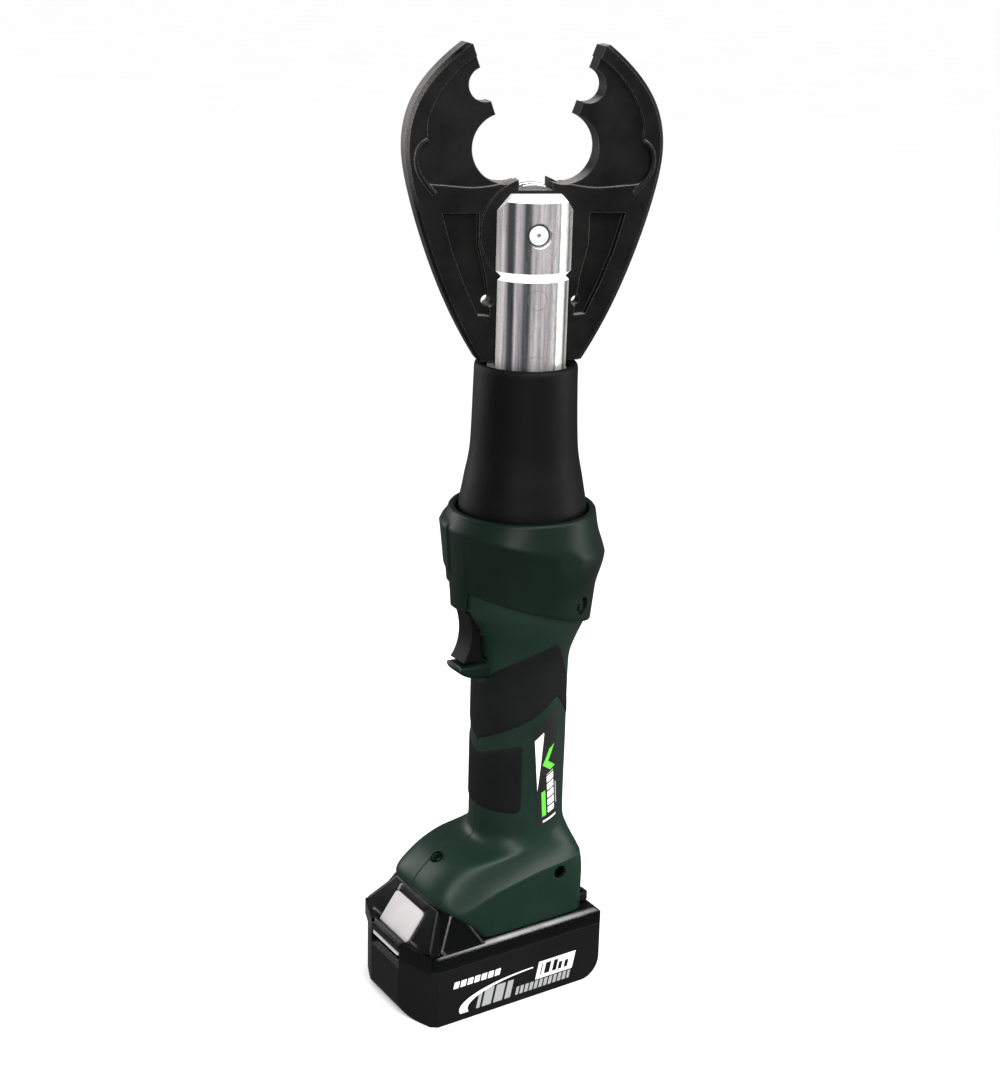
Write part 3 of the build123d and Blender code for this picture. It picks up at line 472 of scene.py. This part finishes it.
def printed_battery():
    """Lower battery case: satin black, with plain printed shapes on its long sides."""
    look = moulded("battery_lower", (0.0046, 0.0043, 0.0042), 0.42, 0.3, grain=0.1, edge=2.4)
    x, y, z = look.split(look.coords)
    on_side = look.math("GREATER_THAN", look.math("ABSOLUTE", x), 37.3 * MM)
    lean = look.math("MULTIPLY_ADD", z, -0.22, y)

    def field(low, high, bottom, top):
        across = inside(look, lean, low * MM, high * MM)
        return look.math("MULTIPLY", across, inside(look, z, bottom * MM, top * MM))

    def cut(mask, pitch, gap):
        return look.math("MULTIPLY", mask, blocks(look, lean, pitch * MM, gap))

    plate = field(-8.6, 15.7, 9.9, 20.3)
    tall_marks = cut(field(-6.2, 4.6, 12.0, 18.6), 5.4, 0.34)
    marks = look.math("MAXIMUM", tall_marks, cut(field(5.4, 13.4, 12.0, 16.4), 4.0, 0.4))
    plate = look.math("SUBTRACT", plate, marks, clamp=True)
    name = cut(field(-64.0, -34.2, 20.6, 24.4), 4.3, 0.24)
    outer = in_ellipse(look, y, z, (-8.0, 6.3), (47.0, 12.2))
    inner = in_ellipse(look, y, z, (-3.6, 6.0), (46.2, 11.9))
    band = look.math("SUBTRACT", outer, inner, clamp=True)
    swoosh = look.math("MULTIPLY", band, look.math("GREATER_THAN", z, 4.0 * MM))
    swoosh = look.math("MULTIPLY", swoosh, look.math("LESS_THAN", y, -8.0 * MM))
    fine_bars = cut(field(-20.4, 15.0, 4.4, 9.2), 3.1, 0.3)
    grey = look.math("MAXIMUM", fine_bars, cut(field(-45.4, -23.6, 4.2, 14.6), 7.2, 0.2))
    ink = look.math("MAXIMUM", look.math("MAXIMUM", plate, swoosh), name)
    base = look.bsdf.inputs["Base Color"].links[0].from_socket
    colour = look.mix(look.math("MULTIPLY", grey, on_side), base, (0.30, 0.31, 0.31))
    look.base(look.mix(look.math("MULTIPLY", ink, on_side), colour, (0.82, 0.82, 0.81)))
    return look.material


def label_film():
    """Glossy black field with plain white and green shapes."""
    look = Shader("label_film", Specular_IOR_Level=0.4, Coat_Weight=0.2, Coat_Roughness=0.12)
    u, v, _ = look.split(look.tree.nodes.new("ShaderNodeUVMap").outputs[0])
    edge = look.span(v, 0.12, 0.62, 0.42, 0.05)
    taper = look.math("MULTIPLY", inside(look, v, 0.1, 0.62), inside(look, u, 0.05, 0.42))
    taper = look.math("MULTIPLY", taper, look.math("LESS_THAN", u, edge))
    bend = look.math("MULTIPLY_ADD", look.math("ABSOLUTE", look.math("SUBTRACT", v, 0.40)), 3.2, 0.42)
    chevron = look.math("MULTIPLY", inside(look, v, 0.30, 0.50),
                        look.math("LESS_THAN", look.math("ABSOLUTE", look.math("SUBTRACT", u, bend)), 0.12))
    bar = look.math("MULTIPLY", inside(look, u, 0.45, 0.76), inside(look, v, 0.52, 0.90))
    bar = look.math("MULTIPLY", bar, look.math("GREATER_THAN", look.math("PINGPONG", v, 0.038), 0.008))
    thin = look.math("MULTIPLY", inside(look, u, 0.2, 0.37), inside(look, v, 0.66, 0.91))
    rule = look.math("MULTIPLY", inside(look, u, 0.22, 0.84), inside(look, v, 0.952, 0.972))
    side = look.math("MULTIPLY", inside(look, u, 0.84, 0.90), inside(look, v, 0.66, 0.86))
    white = look.math("MAXIMUM", look.math("MAXIMUM", taper, bar), rule)
    lime = look.math("MAXIMUM", chevron, thin)
    cloud = look.noise(60.0, 3.0)
    tint = look.ramp(cloud, (0.3, (0.009, 0.009, 0.009)), (0.7, (0.014, 0.014, 0.014)))
    tint = look.mix(side, tint, (0.3, 0.3, 0.3))
    tint = look.mix(lime, tint, (0.09, 0.52, 0.035))
    look.base(look.mix(white, tint, (0.82, 0.82, 0.8)))
    look.rough(look.span(cloud, 0.3, 0.7, 0.3, 0.4))
    look.bump(look.noise(1500.0), 0.05, 0.0001)
    return look.material


GREEN_PLASTIC = green_plastic("green_plastic", (0.0026, 0.0182, 0.0100), 0.38)
COLLAR_GREEN = green_plastic("collar_green", (0.0016, 0.0090, 0.0052), 0.22)
GRIP_RUBBER = rubber("grip_rubber", (0.0048, 0.0052, 0.0056), 0.62)
SLEEVE_RUBBER = rubber("sleeve_rubber", (0.0022, 0.0020, 0.0021), 0.55, 0.2)
BLACK_GLOSS = moulded("battery_gloss", (0.0012, 0.0014, 0.0014), 0.16, 0.3,
                      grain=0.0, edge=3.0, bevel=0.0022).material
BLACK_SATIN = moulded("black_satin", (0.0042, 0.0042, 0.0045), 0.42, 0.4, edge=2.0).material
# near black and nearly unreflective: painted shade for the walls and floors of screw recesses
RECESS_SHADE_BLACK = simple("recess_shade_black", (0.0016, 0.0016, 0.0016), 0.8, specular=0.08)
BUTTON_GREY = moulded("button_grey", (0.42, 0.395, 0.40), 0.55, 0.2, grain=0.1, edge=1.05).material
TRIGGER_BLACK = moulded("trigger_black", (0.0028, 0.0028, 0.0030), 0.55, 0.18, edge=2.0).material
SLOT_LOOKS = {
    "battery_button_plastic": BUTTON_GREY,
    "inner_plastic": simple("inner_plastic", (0.02, 0.02, 0.022), 0.5),
    "cell_wrap": simple("cell_wrap", (0.04, 0.16, 0.32), 0.35),
    "contact_metal": turned_metal("contact_metal", (0.75, 0.58, 0.3), 0.3),
    "circuit_board": simple("circuit_board", (0.01, 0.10, 0.04), 0.4),
    "screw_steel": turned_metal("screw_steel", (0.62, 0.61, 0.58), 0.3),
    "housing_plastic": BLACK_SATIN,
    "trigger_plastic": TRIGGER_BLACK,
    "spring_steel": turned_metal("spring_steel", (0.86, 0.86, 0.85), 0.2),
    "machined_steel": turned_metal("machined_steel", (0.56, 0.56, 0.57), 0.3),
    "magnet": simple("magnet", (0.05, 0.05, 0.05), 0.6),
    "lamination_steel": simple("laminations", (0.22, 0.22, 0.23), 0.45, 1.0, scale=900.0),
    "copper": simple("copper_wire", (0.7, 0.3, 0.13), 0.35, 1.0, scale=700.0),
    "carbon": simple("carbon", (0.02, 0.02, 0.02), 0.6),
    "pump_alloy": turned_metal("pump_alloy", (0.66, 0.66, 0.68), 0.38),
    "soft_rubber": rubber("soft_rubber", (0.012, 0.012, 0.012), 0.6),
    "polished_steel": yoke_steel(),
    "jaw_black": jaw_black(),
}


def dress_frame():
    """Give every CAD node that shows the look of its slot."""
    slots = {entry["node"]: entry["material_slot"] for entry in frame["record"]["subparts"]}
    special = {
        "battery_lower_case": printed_battery(),
        "battery_upper_case": BLACK_GLOSS,
        "tether_lug": BLACK_SATIN,
        "housing_screws": turned_metal("black_screws", (0.03, 0.03, 0.03), 0.4),
        "jaw_pin": pin_steel(),
        "cheek_plugs": SLOT_LOOKS["polished_steel"],
    }
    for name, node in frame["nodes"].items():
        look = special.get(name) or SLOT_LOOKS.get(slots[name], BLACK_SATIN)
        if not node.material_slots:
            node.data.materials.append(look)
        for spot in node.material_slots:
            spot.material = look


# ------------------------------------------------------------ housing
SHELL = [
    # height, front, rear, squareness in front, squareness behind, half width above the foot
    (43.3, -40.2, 28.6, 12.0, 8.0, 34.0),
    (50.0, -46.6, 29.0, 11.0, 8.0, 34.0),
    (57.0, -54.9, 29.3, 8.0, 8.0, 34.0),
    (62.0, -61.6, 29.5, 5.6, 8.0, 34.0),
    (65.5, -63.4, 29.6, 4.8, 8.0, 34.0),
    (69.0, -62.4, 29.6, 4.5, 7.6, 33.4),
    (73.0, -59.4, 29.4, 4.2, 7.0, 32.6),
    (77.0, -55.0, 29.1, 4.0, 6.2, 31.6),
    (80.5, -49.6, 28.8, 3.7, 5.2, 30.6),
    (82.6, -43.6, 28.5, 3.5, 4.4, 29.6),
    (84.2, -34.0, 28.3, 3.0, 3.8, 28.6),
    (86.0, -28.0, 28.1, 2.5, 3.2, 27.2),
    (88.5, -25.4, 27.9, 2.2, 2.7, 26.3),
    (92.0, -24.5, 27.8, 2.0, 2.2, 25.9),
    (100.0, -24.2, 27.7, 2.0, 2.0, 25.9),
    (140.0, -24.1, 27.7, 2.0, 2.0, 25.9),
    (182.0, -24.1, 27.7, 2.0, 2.0, 25.9),
    (192.0, -24.4, 28.4, 2.0, 2.0, 26.6),
    (202.0, -25.8, 31.6, 2.0, 2.0, 29.6),
    (212.0, -30.6, 35.4, 2.0, 2.0, 34.2),
    (220.0, -35.6, 37.0, 2.0, 2.0, 36.7),
    (228.0, -37.3, 37.3, 2.0, 2.0, 37.3),
    (250.0, -37.3, 37.3, 2.0, 2.0, 37.3),
]
# ridge between the foot's side and its sloping top: (y, z)
CREST = [(-66, 55.5), (-51.6, 59.6), (-42.3, 63.0), (-30.6, 68.6), (-3.2, 74.3), (19.7, 76.6), (40, 78.0)]
FOOT_TOP = 96.0
FOOT_HALF = 34.0
GRIP_RADIUS = 25.9


def shell_point(turn, z, lift=0.0):
    """Point on the housing at an angle from the trigger side, and its outward direction."""
    front, rear, power_front, power_rear, half = lookup(SHELL, z)
    depth, middle = (rear - front) / 2, (rear + front) / 2
    sine, cosine = math.sin(turn), math.cos(turn)
    power = power_front if cosine > 0 else power_rear
    y = middle - depth * cosine
    reach = depth
    for _ in range(4):
        width = half
        if z < FOOT_TOP:
            crest = line_up(CREST, y)
            rise = max(0.0, (z - crest) / (FOOT_TOP - crest))
            width = GRIP_RADIUS + (FOOT_HALF - GRIP_RADIUS) * (1 - rise) ** 2.8
        reach = (abs(sine / width) ** power + abs(cosine / depth) ** power) ** (-1 / power)
        y = middle - reach * cosine
    reach += lift
    return Vector((reach * sine, middle - reach * cosine, z))


def crest_height(turn):
    z = 68.0
    for _ in range(6):
        z = line_up(CREST, shell_point(turn, z).y)
    return z


def housing():
    """Both housing halves as one skin, with a groove where they meet and recesses for the screws."""
    turns = []
    for k in range(180):
        turns.append(2.0 * k)
        if k in (0, 90):
            turns += [2.0 * k + 0.35, 2.0 * k + 0.8]
        if k in (89, 179):
            turns += [2.0 * k + 1.2, 2.0 * k + 1.65]
    columns = len(turns)
    points = []
    heights = spread(FOOT_TOP, 192.0, 34)[1:] + spread(192.0, 250.0, 30)[1:]
    rows = 16 + 26 + len(heights)
    ladder = {}
    for turn in turns:
        crest = crest_height(math.radians(turn))
        ladder[turn] = spread(43.3, crest, 16) + spread(crest, FOOT_TOP, 27)[1:] + heights
    for row in range(rows):
        for turn in turns:
            seam = min(turn % 180, 180 - turn % 180) < 0.5
            points.append(shell_point(math.radians(turn), ladder[turn][row], -0.45 if seam else 0.0))
    piece = add_mesh("housing_shell", points, grid_faces(rows, columns, wrap=True), GREEN_PLASTIC, "handle")
    wall = piece.modifiers.new("wall", "SOLIDIFY")
    wall.thickness = 2.2 * MM
    wall.offset = -1
    crown = Vector((2.2, -50.4, 81.6))
    slope = Vector((0.0, -math.sin(math.radians(33)), math.cos(math.radians(33))))
    tools = [
        box_cutter((-7.1, -60, 190.8), (7.1, -15, 221.0)),
        box_cutter((-27.8, -62, 30), (27.8, 25.2, 55.6)),
        round_cutter((0, 10, 70), (1, 0, 0), 3.8, 26, 50),
        round_cutter(crown, slope, 3.0, -3.2, 12),
    ]
    settle(piece, tools)
    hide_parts("housing_left", "housing_right")
    recess_cup("side_recess", (0, 10, 70), (1, 0, 0), 26.4, 33.2, 3.8)
    recess_cup("crown_recess", crown, slope, -3.2, -0.9)


def recess_cup(name, centre, direction, low, high, radius=3.0):
    """Wall and floor of a screw recess below the surface, painted near black as painted shade in the recess.
    """
    axis = Vector(direction).normalized()
    side = axis.orthogonal().normalized()
    other = axis.cross(side)
    wall, back = radius + 0.15, radius + 0.7
    profile = [(0.9, low), (radius, low), (wall, low + 0.2), (wall, high), (back, high),
               (back, low - 0.6), (0.9, low - 0.6)]
    points = []
    for reach, depth in profile:
        for k in range(32):
            turn = 2 * math.pi * k / 32
            ring = side * math.cos(turn) * reach + other * math.sin(turn) * reach
            points.append(Vector(centre) + axis * depth + ring)
    faces = grid_faces(len(profile), 32, wrap=True)
    piece = add_mesh(name, points, faces, RECESS_SHADE_BLACK, "handle", 40)


def finger_stop():
    """Curled lip under the trigger."""
    spine = [(-20.0, 185.4, 9.8), (-26.0, 185.9, 9.4), (-31.0, 186.4, 8.6), (-35.0, 187.2, 6.8),
             (-38.0, 188.3, 4.6), (-39.4, 189.2, 2.6)]
    points = []
    table = [(k, *row) for k, row in enumerate(spine)]
    for step in spread(0, len(spine) - 1, 26):
        y, z, thick = lookup(table, step)
        ahead = lookup(table, min(step + 0.05, len(spine) - 1.001))
        back = lookup(table, max(step - 0.05, 0))
        run = Vector((ahead[0] - back[0], ahead[1] - back[1])).normalized()
        up = Vector((-run.y, run.x))
        half = 8.4 - 0.8 * step / (len(spine) - 1)
        ring = []
        for k in range(28):
            turn = 2 * math.pi * k / 28
            cosine, sine = math.cos(turn), math.sin(turn)
            x = half * math.copysign(abs(cosine) ** 0.45, cosine)
            h = thick / 2 * math.copysign(abs(sine) ** 0.6, sine)
            ring.append((x, y + up.x * h, z + up.y * h))
        points += ring
    faces = grid_faces(26, 28, wrap=True)
    faces += [tuple(range(28)), tuple(range(26 * 28 - 1, 25 * 28 - 1, -1))]
    piece = add_mesh("finger_stop", points, faces, COLLAR_GREEN, "handle", 60)


# ------------------------------------------------------------ grip pads and labels
# edges of the pads: (degrees from the trigger side, height)
PAD_TOP = [(0, 178.5), (9, 180.0), (26, 187.0), (61, 197.0), (90, 204.0), (94, 204.0), (104, 199.0),
           (116, 191.0), (124, 186.0), (140, 156.0)]
PAD_BOTTOM = [(0, 143.5), (26, 149.0), (54, 155.4), (79, 161.2), (104, 169.6), (110, 169.8), (124, 162.5),
              (140, 155.5)]
LOW_TOP = [(0, 138.0), (10, 139.0), (36, 143.0), (61, 146.5), (64, 146.5)]


def pad(name, reach, top, bottom, node, columns, rows, height=0.55):
    """Raised rubber pad on the grip, with a rounded border that dips into the housing."""
    rim = [-0.5, 0.25, 0.48]
    points = []
    for r in range(rows):
        for c in range(columns):
            side = -1 + 2 * c / (columns - 1)
            turn = reach * side
            low, high = bottom(abs(turn)), top(abs(turn))
            z = low + (high - low) * r / (rows - 1)
            from_border = min(r, rows - 1 - r, c, columns - 1 - c)
            lift = rim[from_border] if from_border < len(rim) else height
            points.append(shell_point(math.radians(turn), z, lift))
    piece = add_mesh(name, points, grid_faces(rows, columns), GRIP_RUBBER, "handle")
    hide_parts(node)


def low_bottom(turn):
    corner = max(0.0, turn - 55.0) / 8.6
    return 105.0 + 5.0 * (1 - math.sqrt(max(0.0, 1 - corner ** 2)))


def low_top(turn):
    corner = max(0.0, turn - 61.0) / 2.6
    return line_up(LOW_TOP, turn) - 1.5 * (1 - math.sqrt(max(0.0, 1 - corner ** 2)))


def pads():
    """Upper and lower rubber pads of the grip."""
    pad("upper_pad", 140.0, lambda t: line_up(PAD_TOP, t), lambda t: line_up(PAD_BOTTOM, t),
        "upper_grip_pad", 181, 34)
    pad("lower_pad", 63.6, low_top, low_bottom, "lower_grip_pad", 101, 40)


def labels():
    """Printed films on both sides of the grip."""
    film = label_film()
    for side in (-1, 1):
        points, spots = [], []
        for r in range(31):
            t = r / 30
            for c in range(13):
                s = c / 12
                turn = (75 + 31 * s) * (1 - t) + (85 + 35 * s) * t
                z = (153 + 12 * s) * (1 - t) + (96 + 3 * s) * t
                points.append(shell_point(math.radians(side * turn), z, 0.12))
                spots.append((s, t))
        name = "label_right" if side > 0 else "label_left"
        piece = add_mesh(name, points, grid_faces(31, 13), film, "handle")
        layer = piece.data.uv_layers.new(name="film")
        for loop in piece.data.loops:
            layer.data[loop.index].uv = spots[loop.vertex_index]
    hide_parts("grip_labels")


# ------------------------------------------------------------ battery
def soft_min(a, b, blend):
    """Smaller of two numbers, rounded where they cross."""
    h = min(max(0.5 + 0.5 * (b - a) / blend, 0.0), 1.0)
    return b + (a - b) * h - blend * h * (1 - h)


def prow_foot(x):
    """Front edge of the battery at a distance from its middle."""
    return -79.95 + max(0.0, abs(x) - 15.0) * 8.0 / 22.5


def prow_height(x, y):
    slope = 34.2 + (y - prow_foot(x)) * 1.41
    side = 41.6 + (36.9 - abs(x)) * 2.5
    crest = 61.9
    back = -60.2 + 9.0 * smooth((abs(x) - 18.0) / 12.0)
    height = soft_min(soft_min(slope, side, 5.5), crest, 2.6)
    return max(min(height, crest - max(0.0, y - back) * 1.6), 42.6)


def prow():
    """Glossy black front of the battery around its release button."""
    columns = sorted(set(spread(-36.9, -15.25, 26) + spread(-15.25, 15.25, 15) + spread(15.25, 36.9, 26)))
    points, faces = [], []
    rows = 60
    for x in columns:
        foot = prow_foot(x)
        ends = spread(foot, -38.6, rows - 2)
        wall = [(foot, 33.15), (foot, 34.0)]
        points += [(x, y, z) for y, z in wall + [(y, prow_height(x, y)) for y in ends]]
    for c in range(len(columns) - 1):
        middle = (columns[c] + columns[c + 1]) / 2
        for r in range(rows - 1):
            y = points[c * rows + r][1]
            along = (y + 79.95) / 0.5784
            if abs(middle) < 15.2 and along < 27.6:
                continue
            a = c * rows + r
            faces.append((a, a + 1, a + rows + 1, a + rows))
    piece = add_mesh("prow_cover", points, faces, BLACK_GLOSS, "battery", 60)


# ------------------------------------------------------------ collar and sleeve
COLLAR_HALF_WIDTH = 41.9
COLLAR_SCREW_Z = 224.6
COLLAR_RECESS_RADIUS = 4.9


def collar_edge(turn):
    """Height of the collar's lower edge at an angle from the trigger side."""
    y = -38.5 * math.cos(turn)
    x = abs(38.5 * math.sin(turn))
    slanted = 220.5 - 0.31 * y
    if y > 0:
        return slanted
    return 220.4 + (slanted - 220.4) * smooth((x - 7.2) / 1.6)


def collar_crease(turn):
    return 256.0 + 9.0 * math.cos(turn)


def collar_bulge(turn, z):
    """Extra fullness of the collar behind the release side, at mid height."""
    behind = math.cos(turn - math.radians(150))
    return 2.2 * smooth((behind - 0.2) / 0.8) * smooth(1 - abs(z - 247) / 17)


def panel_lift(turn, z):
    """Raised flat field on the front left of the collar."""
    angle = math.degrees(turn)
    angle = angle - 360 if angle > 180 else angle
    across = smooth((angle + 64) / 2.5) * smooth((-5.5 - angle) / 2.0)
    return 1.0 * across * smooth((z - 238) / 3.5) * smooth((268.5 - z) / 2.5)


def collar():
    """Ring over the top of the halves: rolled rim, full middle, slanted lower edge, screw recess."""
    turns = [math.radians(1.5 * k) for k in range(240)]
    points = []
    rows = 0
    for part in range(46):
        rows += 1
        for turn in turns:
            low, crease = collar_edge(turn), collar_crease(turn)
            if part < 4:
                radius, z = 34.6, 262 + 8.6 * part / 3
            elif part < 12:
                bend = math.pi * (part - 4) / 7
                radius, z = 36.7 - 2.1 * math.cos(bend), 270.6 + 2.2 * math.sin(bend)
            elif part < 22:
                t = (part - 11) / 10
                radius, z = 38.8 + 3.4 * t, 270.6 + (crease - 270.6) * t
            elif part < 42:
                t = (part - 21) / 20
                taper = 3.3 + 0.9 * smooth(-math.cos(turn))
                radius, z = 42.2 - taper * t ** 0.9, crease + (low + 0.8 - crease) * t
            else:
                radius, z = ((38.6, low + 0.25), (38.2, low), (37.7, low + 0.1), (37.4, low + 3.0))[part - 42]
                radius -= 0.9 * smooth(-math.cos(turn))
            if 12 <= part < 42:
                radius += panel_lift(turn, z) + collar_bulge(turn, z)
            radius = min(radius, COLLAR_HALF_WIDTH / max(abs(math.sin(turn)), 0.01))
            points.append((radius * math.sin(turn), -radius * math.cos(turn), z))
    faces = grid_faces(rows, len(turns), wrap=True)
    piece = add_mesh("collar_ring", points, faces, COLLAR_GREEN, "handle")
    screw_turn = math.radians(114)
    out = (math.sin(screw_turn), -math.cos(screw_turn), 0)
    settle(piece, [round_cutter((0, 0, COLLAR_SCREW_Z), out, COLLAR_RECESS_RADIUS, 33, 50)])
    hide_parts("collar")
    recess_cup("collar_recess", (0, 0, COLLAR_SCREW_Z), out, 34.6, 38.0, COLLAR_RECESS_RADIUS)


# outside of the sleeve: (height, radius)
SLEEVE = [(267.2, 33.4), (275, 33.2), (283, 31.8), (290, 30.55), (297, 29.1), (304, 28.1), (314, 27.5),
          (325, 27.1), (336, 26.8), (344, 26.6)]


def sleeve():
    """Soft rubber sleeve: flared skirt, rolled top lip, faint hand marks."""
    profile = [(22.6, 267.2), (30.0, 267.2)]
    profile += [(lookup(SLEEVE, z)[0], z) for z in spread(267.4, 345.4, 70)]
    profile += [(26.55, 346.6), (26.2, 347.9), (25.4, 348.7), (24.3, 348.8), (23.2, 348.2), (22.0, 347.0),
                (21.3, 345.4), (20.9, 342.0), (20.9, 338.2), (22.6, 338.0), (22.6, 300.0)]
    points = []
    for radius, z in profile:
        for k in range(144):
            turn = 2 * math.pi * k / 144
            soft = 0.0
            if radius > 26:
                soft = 0.10 * math.sin(3 * turn + z / 21) + 0.06 * math.sin(7 * turn - z / 13)
            reach = radius + soft
            points.append((reach * math.sin(turn), -reach * math.cos(turn), z))
    faces = grid_faces(len(profile), 144, wrap=True)
    piece = add_mesh("sleeve", points, faces, SLEEVE_RUBBER, "head")
    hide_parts("neck_sleeve")


# ------------------------------------------------------------ stage
def floor():
    mesh = bpy.data.meshes.new("floor")
    mesh.from_pydata([(-60, -60, 0), (60, -60, 0), (60, 60, 0), (-60, 60, 0)], [], [(0, 1, 2, 3)])
    plane = bpy.data.objects.new("floor", mesh)
    bpy.context.scene.collection.objects.link(plane)
    look = Shader("floor", Roughness=0.9, Specular_IOR_Level=0.0)
    look.base(look.ramp(look.noise(3.0, 2.0), (0.3, (0.95, 0.95, 0.95)), (0.7, (0.97, 0.97, 0.97))))
    mesh.materials.append(look.material)
    plane.visible_glossy = False


def lamp(name, azimuth, elevation, distance, size, watts, aim=(0, 0, 0.25)):
    """Soft box aimed at the tool, at an angle from the trigger side."""
    data = bpy.data.lights.new(name, "AREA")
    data.shape = "RECTANGLE"
    data.size, data.size_y = size
    data.energy = watts
    light = bpy.data.objects.new(name, data)
    a, e = math.radians(azimuth), math.radians(elevation)
    out = Vector((math.sin(a) * math.cos(e), -math.cos(a) * math.cos(e), math.sin(e)))
    light.location = Vector(aim) + out * distance
    light.rotation_euler = out.to_track_quat("Z", "Y").to_euler()
    light.visible_camera = False
    bpy.context.scene.collection.objects.link(light)


def studio():
    """White surroundings that stay dim in reflections, and soft boxes around the tool."""
    world = bpy.data.worlds.new("studio")
    bpy.context.scene.world = world
    world.use_nodes = True
    tree = world.node_tree
    sky = tree.nodes["Background"]
    sky.inputs["Color"].default_value = (1.0, 1.0, 1.0, 1.0)
    glossy = tree.nodes.new("ShaderNodeLightPath").outputs["Is Glossy Ray"]
    level = tree.nodes.new("ShaderNodeMapRange")
    level.inputs["To Min"].default_value = 1.03
    level.inputs["To Max"].default_value = 0.16
    tree.links.new(glossy, level.inputs["Value"])
    tree.links.new(level.outputs[0], sky.inputs["Strength"])
    lamp("key", 95, 52, 1.3, (0.8, 0.8), 10.0)
    lamp("edge", 133, 45, 1.3, (0.13, 0.2), 3.0, (0.037, -0.02, 0.041))
    lamp("spark", 58, 38, 1.2, (0.16, 0.16), 3.0, (0.02, -0.065, 0.055))
    lamp("left_strip", -62, 4, 0.95, (0.25, 0.8), 4.0, (0, 0, 0.45))
    lamp("front_strip", 52, 6, 1.2, (0.2, 0.8), 1.6, (0, 0, 0.42))
    lamp("right_strip", 150, 0, 0.95, (0.25, 0.9), 4.0, (0, 0, 0.42))
    bpy.context.scene.view_settings.view_transform = "Standard"


def camera():
    """Camera above and to the right of the trigger side, rolled a little."""
    data = bpy.data.cameras.new("camera")
    data.sensor_width = 36.0
    data.lens = 60.44
    data.shift_x = -0.0204
    data.shift_y = 0.0006
    data.clip_end = 200.0
    view = bpy.data.objects.new("camera", data)
    turn, roll = math.radians(56.5), math.radians(1.8)
    back = Vector((0.79207, -0.52349, 0.31398)).normalized()
    right = Vector((math.cos(turn), math.sin(turn), 0))
    up = back.cross(right)
    across = right * math.cos(roll) + up * math.sin(roll)
    rise = up * math.cos(roll) - right * math.sin(roll)
    place = Matrix((across, rise, back)).transposed().to_4x4()
    place.translation = Vector((0.74546, -0.49268, 0.55145))
    view.matrix_world = place
    bpy.context.scene.collection.objects.link(view)
    bpy.context.scene.camera = view


dress_frame()
housing()
finger_stop()
pads()
labels()
prow()
collar()
sleeve()
floor()
studio()
camera()
